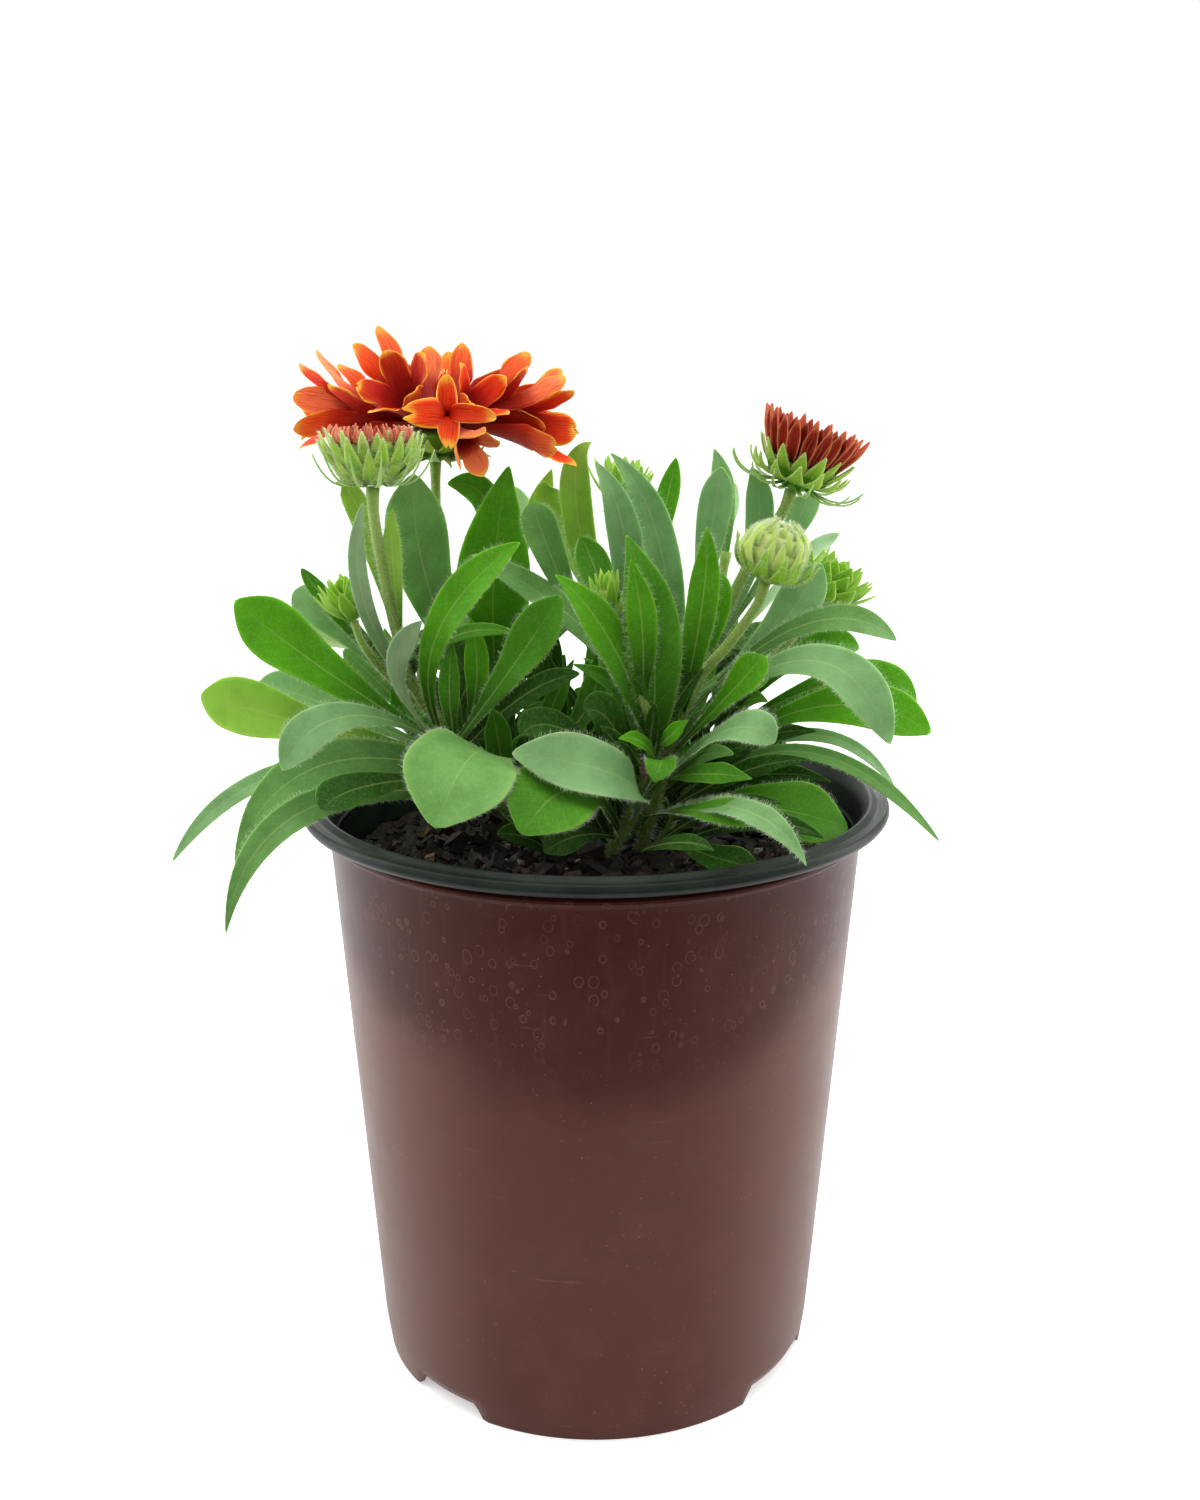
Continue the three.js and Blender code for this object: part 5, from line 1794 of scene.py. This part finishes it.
TIP_SHAPE = {"channel": 0.4, "thickness": 0.5}
RAY_SHAPE = {"outline": Outline.RAY, "channel": 0.8, "thickness": 0.55, "rows": 14, "columns": 9}


@dataclass(frozen=True)
class Head:
    """A flower head or bud: a turned cup, florets in it and rings of blades round it, on a seat."""

    name: str
    seat: Perch
    finish: Finish
    seed: int
    rings: tuple[BladeRing, ...]
    cup: tuple[Span, ...] = ()
    cup_tints: list[Tint] | Tint = CUP_GREEN
    cup_sides: int = 32
    florets: Disc | None = None

    @classmethod
    def star(cls, name: str, seat: Perch, radius: float, height: float, count: int, seed: int) -> "Head":
        """A young bud: a star of pointed bracts round a small core.

        Args:
            name: the piece's name.
            seat: where it sits.
            radius: how far the bracts reach, in mm.
            height: how tall it is, in mm.
            count: bracts in the outer ring.
            seed: starts its draws.

        Returns:
            The bud.
        """
        core = [(0, 0), (0.22, 0), (0.48, 0.3), (0.34, 0.64), (0, 0.76)]
        tints = [CUP_GREEN, CUP_GREEN, (140, 176, 74), (176, 200, 100), (196, 212, 120)]
        rows = (
            (count, 180 / count, (0.2, 0.06), (0.74, 0.3), (1.15, 0.8), 0.56, 0),
            (count, 0, (0.22, 0.2), (0.62, 0.5), (0.9, 0.98), 0.52, 2),
            (count - 1, 20, (0.24, 0.3), (0.46, 0.66), (0.54, 1.08), 0.48, 1),
            (3, 40, (0.1, 0.5), (0.24, 0.8), (0.16, 1.02), 0.46, 3),
        )
        shape = {"outline": LANCE, "rows": 12, "hairs": round(3 * radius), "hair_length": 0.09 * radius}
        rings = []
        for number, start, *line, width, order in rows:
            line = [(r * radius, z * height) for r, z in line]
            ring = BladeRing(number, *line, width * radius, BUD_TONE, seed + order, start, 0.12, **shape)
            rings.append(ring)
        cup = tuple((r * radius, z * height) for r, z in core)
        return cls(name, seat, Finish.BRACT, 130 + seed, tuple(rings), cup, tints, 20)

    def add(self, nursery: Nursery) -> None:
        """Add the head and its hairs to the plant, in place of the solid of its name.

        Args:
            nursery: sets them in the frame.
        """
        dice = np.random.default_rng(self.seed)
        down = Hairs()
        skins = [turned_body(self.cup, self.cup_tints, self.cup_sides)] if self.cup else []
        skins += [self.florets.skin()] if self.florets else []
        skins += [ring.grow(dice, down) for ring in self.rings]
        body = Skin.joined(skins).seated(self.seat)
        nursery.place(f"{self.name}_fine", body, self.finish, node=self.name)
        if down.tufts:
            hair = down.skin(HEAD_HAIR_RADIUS, HEAD_HAIR_TINT).seated(self.seat)
            nursery.place(f"{self.name}_down", hair, Finish.DOWN, self.finish, weld=False)


HEADS = (
    Head(
        "bloom_bracts", Perches.BLOOM, Finish.BRACT, 211,
        (
            BladeRing(13, (5.4, 3), (11, 4), (13.2, 7.2), 4.8, BRACT_TONE, 21, 15, 0.06, hairs=22),
            BladeRing(12, (4.2, 2), (10.4, 1.2), (14, 3.4), 3.4, LOW_BRACT_TONE, 24, 3, 0.1, 60, hairs=20),
            BladeRing(8, (4, 2), (11, 1.6), (15, 0.2), 2.2, LOW_BRACT_TONE, 22, 22, 0.08, 90, hairs=16),
        ),
        ((0, 0), (2.6, 0), (6, 1.8), (8.2, 4), (8.8, 7.6), (6, 8.7), (0, 9)),
    ),
    Head(
        "closed_head_bracts", Perches.CLOSED, Finish.BRACT, 101,
        (
            BladeRing(13, (2.8, 0.2), (6.9, 1.9), (9.4, 5.8), 4.6, BRACT_TONE, 5, 13, 0.12, hairs=110),
            BladeRing(16, (5.2, 1), (9.4, 4), (11.5, 9), 4.7, BRACT_TONE, 6, 0, 0.12, hairs=100),
            BladeRing(18, (7.6, 3.2), (10.9, 7), (12.6, 11.8), 4.4, BRACT_TONE, 9, 9, 0.12, hairs=80),
            BladeRing(18, (8.8, 6.2), (10.8, 10.4), (11.8, 13.6), 3.4, YOUNG_TONE, 19, 2, 0.12, hairs=60),
            BladeRing(11, (3.2, 0.8), (9.6, 1), (14.4, 9), 1.4, LOW_BRACT_TONE, 7, 20, 0.12, 90, hairs=34),
        ),
        ((0, 0), (2.6, 0), (5.2, 1.2), (7.8, 3.6), (10, 7.2), (9.8, 9.4), (6, 10.3), (0, 10.6)),
        [CUP_GREEN] * 6 + [(196, 190, 110), (206, 204, 128)],
        florets=Disc(8.2, 9.4, 1.6, 130, 0.9, (150, 160, 80), (196, 206, 120), (214, 186, 120)),
    ),
    Head(
        "closed_head_ray_tips", Perches.CLOSED, Finish.RAY_TIP, 102,
        (
            BladeRing(40, (9, 10.6), (10.2, 12.6), (9.4, 14.6), 1.5, PINK_TONE, 8, 0, 0.07, **TIP_SHAPE),
            BladeRing(34, (7.6, 10.4), (8.6, 12.4), (7.2, 14), 1.5, RED_TONE, 18, 6, 0.07, **TIP_SHAPE),
        ),
    ),
    Head(
        "open_head_bracts", Perches.OPEN, Finish.BRACT, 111,
        (
            BladeRing(13, (5.4, 2.4), (11.4, 3.2), (14.2, 7.6), 5.2, BRACT_TONE, 11, 15, 0.07, hairs=34),
            BladeRing(14, (8, 4), (11, 7.4), (13.4, 11.6), 4.4, BRACT_TONE, 12, 2, 0.06, hairs=26),
            BladeRing(12, (4, 1.6), (13, 0.4), (18.4, 5.2), 1.8, LOW_BRACT_TONE, 13, 8, 0.1, 90, hairs=16),
        ),
        ((0, 0), (2.6, 0), (5.6, 1.4), (8.2, 3.4), (9.8, 6.6), (6, 7.1), (0, 7.2)),
    ),
    Head(
        "open_head_rays", Perches.OPEN, Finish.YOUNG_RAY, 112,
        (
            BladeRing(22, (8.8, 7.4), (11.2, 13), (14.4, 18.8), 3.7, BRICK_TONE, 14, 0, 0.06, **RAY_SHAPE),
            BladeRing(18, (7.8, 7.4), (9.8, 12.4), (12, 18.2), 3.4, DEEP_TONE, 15, 10, 0.08, **RAY_SHAPE),
        ),
    ),
    Head(
        "right_bud", Perches.RIGHT_BUD, Finish.BRACT, 121,
        (
            BladeRing(12, (3.6, 0.9), (8.6, 3.4), (9.4, 9.8), 4.8, BUD_TONE, 31, 12, 0.14, hairs=120),
            BladeRing(13, (5.7, 2.9), (9.1, 7.4), (7.4, 13), 4.3, YOUNG_TONE, 32, 0, 0.14, hairs=170),
            BladeRing(12, (5.4, 6.6), (7.4, 11.6), (4, 15.2), 3.5, YOUNG_TONE, 35, 8, 0.14, hairs=190),
            BladeRing(8, (3, 9.8), (4.2, 13.8), (1.4, 15.6), 2.9, YOUNG_TONE, 37, 3, 0.14, hairs=190),
            BladeRing(9, (3, 1.1), (9.2, 2.9), (12.8, 9.8), 3, BUD_TONE, 33, 10, 0.2, hairs=60),
        ),
        ((0, 0), (2.4, 0), (6.9, 3.1), (8, 7.6), (5.9, 12.4), (0, 14.6)),
        [CUP_GREEN, CUP_GREEN, (176, 204, 96), (200, 218, 126), (214, 226, 146), (220, 230, 156)],
    ),
    Head.star("far_right_bud", Perches.FAR_RIGHT_BUD, 11, 13, 9, 41),
    Head.star("centre_bud", Perches.CENTRE_BUD, 5.5, 12.5, 5, 51),
    Head.star("small_left_bud", Perches.SMALL_LEFT_BUD, 7.5, 12, 6, 61),
    Head.star("rear_bud", Perches.REAR_BUD, 9, 12, 7, 71),
)
BLOOM_DISC = Disc(5.4, 9.35, 4.2, 110, 0.95, (84, 18, 16), (120, 40, 22), (196, 120, 50))
OPEN_HEAD_DISC = Disc(7.2, 7.55, 4.4, 150, 0.95, (70, 26, 20), (120, 100, 50), (150, 60, 40))


# ---- fluted rays ----


@dataclass(frozen=True)
class Lobe:
    """One lobe of a fluted ray with its share of the tube. Lengths in mm, angles in radians."""

    flute: "Flute"
    start: float
    end: float
    parted: tuple[bool, bool]
    reach: float
    flare: float
    widest: float
    tip_start: float
    tip_round: float
    tip_blunt: float
    bend: float
    twist: float
    curl: float
    cup: float
    notch: float
    gold: float
    shade: float

    NARROW = 1.3
    WALL = 0.45
    TUBE_ROWS = 9
    LOBE_ROWS = 17
    COLUMNS = 13
    STOPS = (-1, -0.4, 0, 0.3, 0.7, 1)
    INSIDE = ((110, 6, 4), (124, 8, 4), (156, 18, 6), (200, 38, 4), (226, 64, 8), (236, 104, 22))
    OUTSIDE = ((146, 66, 58), (146, 34, 26), (170, 38, 16), (212, 74, 28), (230, 100, 40), (240, 146, 66))
    EDGE = (255, 194, 62)
    FADED = (242, 138, 88)
    # painted shade: the dark red of flutes that lie in shadow
    SHADED_RED = (112, 12, 8)

    def skin(self) -> Skin:
        """Work out the lobe, along +Z from its root.

        In the tube the radius is narrow + (mouth - narrow) s^1.6. Beyond the mouth the midline
        turns from the wall's slope to the flare and on by curl s^2, and the section eases from an
        arc of the tube to a shallow cup of depth cup v^2, twisted more towards the tip. The wall
        falls to nothing at the root, at the lobe's border and where the tube is parted.

        Returns:
            The lobe, as two sheets that meet at the border.
        """
        length, mouth = self.flute.length, self.flute.mouth
        spread, middle = (self.end - self.start) / 2, (self.end + self.start) / 2
        side = np.sin(np.pi / 2 * np.linspace(-1, 1, self.COLUMNS))[None, :]
        tube = np.linspace(0, 1, self.TUBE_ROWS)[:-1, None]
        out = 1 - (1 - np.linspace(0, 1, self.LOBE_ROWS)[:, None]) ** 1.35
        slope = math.atan(1.6 * (mouth - self.NARROW) / length)
        lean = slope + (self.flare - slope) * eased(out / 0.6) + self.curl * out**2
        steps = np.diff(out, axis=0) * self.reach
        mean_lean = (lean[1:] + lean[:-1]) / 2
        far = mouth + np.vstack([[0], np.cumsum(np.sin(mean_lean) * steps, axis=0)])
        high = length + np.vstack([[0], np.cumsum(np.cos(mean_lean) * steps, axis=0)])
        held = out * (1 - self.notch * np.exp(-((side / 0.4) ** 2)) * out**4)
        far, high, lean = (np.interp(held, out[:, 0], line[:, 0]) for line in (far, high, lean))
        closing = 1 - np.clip((out - self.tip_start) / (1 - self.tip_start), 0, 1) ** self.tip_round
        closing = np.maximum(closing**self.tip_blunt, 2.2 * self.notch)
        base = mouth * math.sin(spread)
        half = (base + (self.widest - base) * eased(out / 0.45)) * closing
        arc_x, arc_drop = mouth * np.sin(spread * side), mouth * (1 - np.cos(spread * side))
        loose, flatten = eased(out / 0.3), eased(out / 0.4)
        sideways = arc_x * (1 - loose) + half * side * loose + self.bend * self.reach * out**2
        ruffle = np.abs(side) ** 3 * np.sin(9 * out + 7 * self.gold)
        crease = 0.16 * np.cos(3 * np.pi * side) + 0.35 * ruffle
        dished = self.cup * side**2 * half / self.widest + crease * closing + self.twist * half * side * out
        drop = arc_drop * (1 - flatten) + dished * flatten
        radial, tangent = polar(1, middle, 0), polar(1, middle + np.pi / 2, 0)
        upward = np.array(UP)
        back = radial * np.cos(lean)[..., None] - upward * np.sin(lean)[..., None]
        lobe = radial * far[..., None] + upward * high[..., None] + tangent * sideways[..., None]
        lobe = lobe - back * drop[..., None]
        round_way = polar(1, middle + spread * side, 0)
        tube_radius = self.NARROW + (mouth - self.NARROW) * tube**1.6
        wall = polar(tube_radius, middle + spread * side, tube * length)
        lobe_normal = unit(mixed(np.broadcast_to(round_way, lobe.shape), back, flatten))
        normal = np.concatenate([np.broadcast_to(round_way, wall.shape), lobe_normal])
        border = np.sqrt(1 - side**4)
        border[:, 0], border[:, -1] = 0, 0
        joined = np.where(side < 0, not self.parted[0], not self.parted[1])
        tube_wall = self.WALL * np.minimum(1, tube * 10) * np.where(joined, 1, border)
        end_wall = np.sqrt(1 - out**8) * np.minimum(1, 3 * closing)
        end_wall[-1] = 0
        thickness = np.concatenate([tube_wall, self.WALL * border * end_wall])
        places = np.concatenate([wall, lobe])
        along = np.concatenate([tube - 1, out])
        distance = length + np.where(along < 0, along * length, along * self.reach)
        span = np.concatenate([tube_radius * spread * side, half * side])
        chart = (span, distance, np.maximum(along, 0))
        return Skin.thin(places, places - normal * thickness[..., None], self.colours(along, side), chart)

    def colours(self, along: Array, side: Array) -> tuple[Array, Array]:
        """Colour the lobe: a dark red throat, orange-red beyond it, gold edge and tip, paler where the
        flute has faded, and darker red as painted shade where its share is negative.

        Args:
            along: -1 at the root, 0 at the mouth, 1 at the tip.
            side: -1 to 1 across.

        Returns:
            The colours outside and inside.
        """
        along, side = np.broadcast_arrays(along, side)
        gold = eased((np.abs(side) - self.gold) / (1.02 - self.gold)) * eased((along - 0.1) / 0.35)
        gold = np.maximum(gold, eased((along - 0.76) / 0.2) * 0.95)
        # below 0 the flute darkens to painted shade instead of fading
        pale = linear(self.FADED if self.flute.fade_and_shade > 0 else self.SHADED_RED)
        fade_and_shade = abs(self.flute.fade_and_shade) * eased((along + 0.2) / 0.5)
        sides = []
        for tints, share in ((self.OUTSIDE, 0.7), (self.INSIDE, 0.9)):
            red = mixed(read(along, self.STOPS, linear(tints)), pale, fade_and_shade)
            sides.append(mixed(red, linear(self.EDGE), share * gold) * self.shade)
        return tuple(sides)


@dataclass(frozen=True)
class Flute:
    """A fluted ray: a widening tube that opens into lobes. Lengths in mm, angles in degrees.

    Lobes part at the cuts, angles round the tube from its underside towards growing azimuth. A
    split flute lacks its first lobe and stands open there. A flute with a notched lobe has the
    blunt round lobes of the one that faces the front.
    """

    azimuth: float
    elevation: float
    length: float
    flare: float
    lobe: float
    turn: float
    lobes: int = 4
    split: bool = False
    mouth: float = 4.8
    # above 0 a paler, faded flute; below 0 a darker one, painted shade where the flute lies in shadow
    fade_and_shade: float = 0.0
    cuts: tuple[float, ...] = ()
    notched: int = -1

    ROOT_RADIUS = 6.8
    ROOT_Z = 10.4
    LOBE_WIDTH = 7.2

    def drawn(self, start: float, end: float, parted: tuple[bool, bool], dice: Dice) -> Lobe:
        """Draw one lobe of this flute.

        Args:
            start: where it starts round the tube, in degrees.
            end: where it ends.
            parted: whether the tube is open at each of the two.
            dice: the draws.

        Returns:
            The lobe.
        """
        wide = math.sqrt((end - start) * self.lobes / 360)
        return Lobe(
            self, math.radians(start), math.radians(end), parted,
            reach=self.lobe * dice.uniform(0.86, 1.1),
            flare=math.radians(self.flare * dice.uniform(0.85, 1.15)),
            widest=(0.3 * self.LOBE_WIDTH + 0.3 * self.mouth) * wide * dice.uniform(0.92, 1.14),
            tip_start=dice.uniform(0.3, 0.5), tip_round=dice.uniform(1.5, 2.4),
            tip_blunt=dice.uniform(0.5, 0.75), bend=dice.uniform(-0.13, 0.13),
            twist=dice.uniform(-0.32, 0.32), curl=dice.uniform(-0.1, 0.5), cup=dice.uniform(-0.3, 1.3),
            notch=0.1 if dice.uniform() < 0.25 else 0,
            gold=dice.uniform(0.74, 0.9), shade=dice.uniform(1.1, 1.34),
        )

    def skin(self, dice: Dice) -> Skin:
        """Join the lobes and lay the flute out from the head's middle.

        Args:
            dice: the draws.

        Returns:
            The flute, in the head's own frame.
        """
        each = 360 / self.lobes
        cuts = self.cuts or tuple(
            self.turn + each * (k - 0.5) + dice.uniform(-0.1, 0.1) * each for k in range(self.lobes)
        )
        cuts = (*cuts, cuts[0] + 360)
        lobes = [
            self.drawn(
                cuts[k], cuts[k + 1], (self.split and k == 1, self.split and k == self.lobes - 1), dice
            )
            for k in range(int(self.split), self.lobes)
        ]
        if self.notched > 0:
            lobes = [
                replace(lobe, tip_start=0.42, tip_round=2.3, tip_blunt=0.5, widest=1.1 * lobe.widest)
                for lobe in lobes
            ]
            lobes[self.notched] = replace(lobes[self.notched], notch=0.18, widest=4, cup=0.2, bend=0)
        whole = Skin.joined(lobe.skin() for lobe in lobes)
        places = turned(whole.places, (0, 1, 0), math.radians(90 - self.elevation))
        places = places + np.array([self.ROOT_RADIUS, 0, self.ROOT_Z])
        return replace(whole, places=turned(places, UP, math.radians(self.azimuth)))


@dataclass(frozen=True)
class BloomRays:
    """The fluted rays of the open bloom, on a ring that holds their roots. Lengths in mm."""

    seat: Perch = Perches.BLOOM
    seed: int = 201
    ring: tuple[Span, ...] = ((5.8, 9.4), (8.4, 9.4), (8.4, 11.6), (5.8, 11.6), (5.8, 9.4))
    ring_tint: Tint = (110, 24, 20)
    # negative shares paint shade on flutes deep in the bloom
    flutes: tuple[Flute, ...] = (
        Flute(-79, 15, 20, 70, 14.5, 90, 4, mouth=0.8, cuts=(50, 130, 240, 306), notched=2),
        Flute(-16, 1, 21, 24, 12.5, 225, 5, split=True, mouth=6),
        Flute(-54, -22, 10, 16, 8, 30, mouth=4, fade_and_shade=1),
        Flute(0, 18, 14, 40, 11, 225, 5, split=True, mouth=5.6, fade_and_shade=-0.6),
        Flute(14, 12, 20, 26, 12.5, 50, fade_and_shade=0.7),
        Flute(34, 25, 15, 18, 14, 20, mouth=4.2),
        Flute(66, 31, 12, 24, 10, 0, mouth=5.4),
        Flute(82, 8, 18, 36, 14, 30, 3),
        Flute(104, 37, 13, 14, 9, 10, mouth=3.6, fade_and_shade=0.6),
        Flute(135, 41, 15, 6, 13.5, 0, mouth=3.8),
        Flute(150, 12, 17, 24, 12, 60, 3, mouth=4),
        Flute(166, 9, 20, 28, 13, 10, mouth=5.6, fade_and_shade=0.9),
        Flute(188, 7, 20, 30, 13, 135, 5, split=True, mouth=6),
        Flute(210, 1, 14, 30, 10, 135, 5, split=True, mouth=5.6, fade_and_shade=-0.3),
        Flute(238, 46, 12, 34, 8.5, 0, 5, mouth=6, fade_and_shade=-0.35),
        Flute(-38, 44, 9, 34, 9, 20, mouth=4.4),
        Flute(116, -1, 18, 38, 14, 40, 3),
        Flute(50, 2, 19, 38, 14, 0, 3),
    )

    def add(self, nursery: Nursery) -> None:
        """Add the rays to the bloom.

        Args:
            nursery: sets them in the frame.
        """
        dice = np.random.default_rng(self.seed)
        ring = turned_body(self.ring, self.ring_tint, waist=2)
        skin = Skin.joined([ring, *(flute.skin(dice) for flute in self.flutes)]).seated(self.seat)
        nursery.place("bloom_flutes", skin, Finish.FLUTED_RAY, node="bloom_rays")


# ---- studio ----


@dataclass(frozen=True)
class Softbox:
    """A rectangular studio light. Metres, watts."""

    name: str
    place: Place
    size: Span
    power: float
    aim: Place = (0.0, 0.0, 0.16)

    def build(self) -> None:
        """Hang the light and turn it to its aim."""
        light = bpy.data.lights.new(self.name, "AREA")
        light.shape = "RECTANGLE"
        light.size, light.size_y = self.size
        light.energy = self.power
        lamp = stand(self.name, light)
        lamp.location = self.place
        way = np.array(self.aim) - np.array(self.place)
        level = math.hypot(way[0], way[1])
        lamp.rotation_euler = (math.atan2(level, -way[2]), 0, math.atan2(-way[0], way[1]))


@dataclass(frozen=True)
class Studio:
    """Pale floor, soft light and the camera. Metres and degrees."""

    camera_place: Place = (0.0013, -0.4797, 0.3023)
    camera_pitch: float = 14.51
    camera_lens: float = 42.31
    camera_clip: Span = (0.01, 50.0)
    floor_radius: float = 3.0
    floor_y: float = 2.7
    floor_glow: float = 0.42
    floor_sides: int = 64
    sky: Span = (0.93, 0.95)
    sky_below: float = 0.12
    boxes: tuple[Softbox, ...] = (
        Softbox("top_box", (-0.1, -0.1, 1.5), (1.4, 1.2), 8),
        Softbox("left_box", (-0.95, 0.25, 0.55), (0.5, 1.1), 6),
        Softbox("right_box", (0.95, 0.25, 0.55), (0.5, 1.1), 6.5),
        Softbox("back_box", (0, 1.2, 0.7), (1.2, 0.7), 5),
    )

    def build(self) -> None:
        """Set up floor, lights, sky and camera."""
        self.floor()
        for box in self.boxes:
            box.build()
        scene = bpy.context.scene
        scene.world = self.surroundings()
        scene.view_settings.view_transform = "Standard"
        camera = bpy.data.cameras.new("camera")
        camera.lens = self.camera_lens
        camera.clip_start, camera.clip_end = self.camera_clip
        holder = stand("camera", camera)
        holder.location = self.camera_place
        holder.rotation_euler = (math.radians(90 - self.camera_pitch), 0, 0)
        scene.camera = holder

    def surroundings(self) -> bpy.types.World:
        """Make the sky: white where it is seen, softer light from it, least from the front.

        Returns:
            The sky.
        """
        graph = Graph(bpy.data.worlds.new("studio_sky"), "Background")
        _, y, z = graph.place().parts()
        strength = y.span(-0.9, -0.1, *self.sky) * z.span(-0.12, 0.05, self.sky_below, 1)
        seen = graph.add("ShaderNodeLightPath", {}, "Is Camera Ray")
        strength = graph.add("ShaderNodeMix", {0: seen, 2: strength, 3: 1})
        graph.set(Color=(1, 1, 1, 1), Strength=strength)
        return graph.owner

    def floor(self) -> None:
        """Lay a round pale floor that starts a little in front of the pot."""
        rim = polar(self.floor_radius, circle(self.floor_sides)[0], 0)
        rim = rim + np.array([0, self.floor_y, 0])
        mesh = bpy.data.meshes.new("studio_floor")
        mesh.from_pydata(rim.tolist(), [], [list(range(self.floor_sides))])
        graph = Graph(bpy.data.materials.new("studio_floor"))
        graph.set(Base_Color=(0.86, 0.86, 0.86, 1), Roughness=0.9, Specular_IOR_Level=0.1)
        graph.set(Emission_Color=(1, 1, 1, 1), Emission_Strength=self.floor_glow)
        mesh.materials.append(graph.owner)
        floor = stand("studio_floor", mesh)


def main() -> None:
    """Build the whole plant in its studio."""
    logging.basicConfig(level=logging.INFO, format="%(message)s")
    Studio().build()
    nursery = Nursery()
    POT.add(nursery)
    PottingMix().add(nursery)
    for seed, shoot in enumerate(SHOOTS, start=11):
        shoot.add(nursery, seed)
    Undergrowth().add(nursery)
    for head in HEADS:
        head.add(nursery)
    BloomRays().add(nursery)
    BLOOM_DISC.add(nursery, "bloom_disc", Perches.BLOOM)
    OPEN_HEAD_DISC.add(nursery, "open_head_disc", Perches.OPEN)


if __name__ == "__main__":
    main()
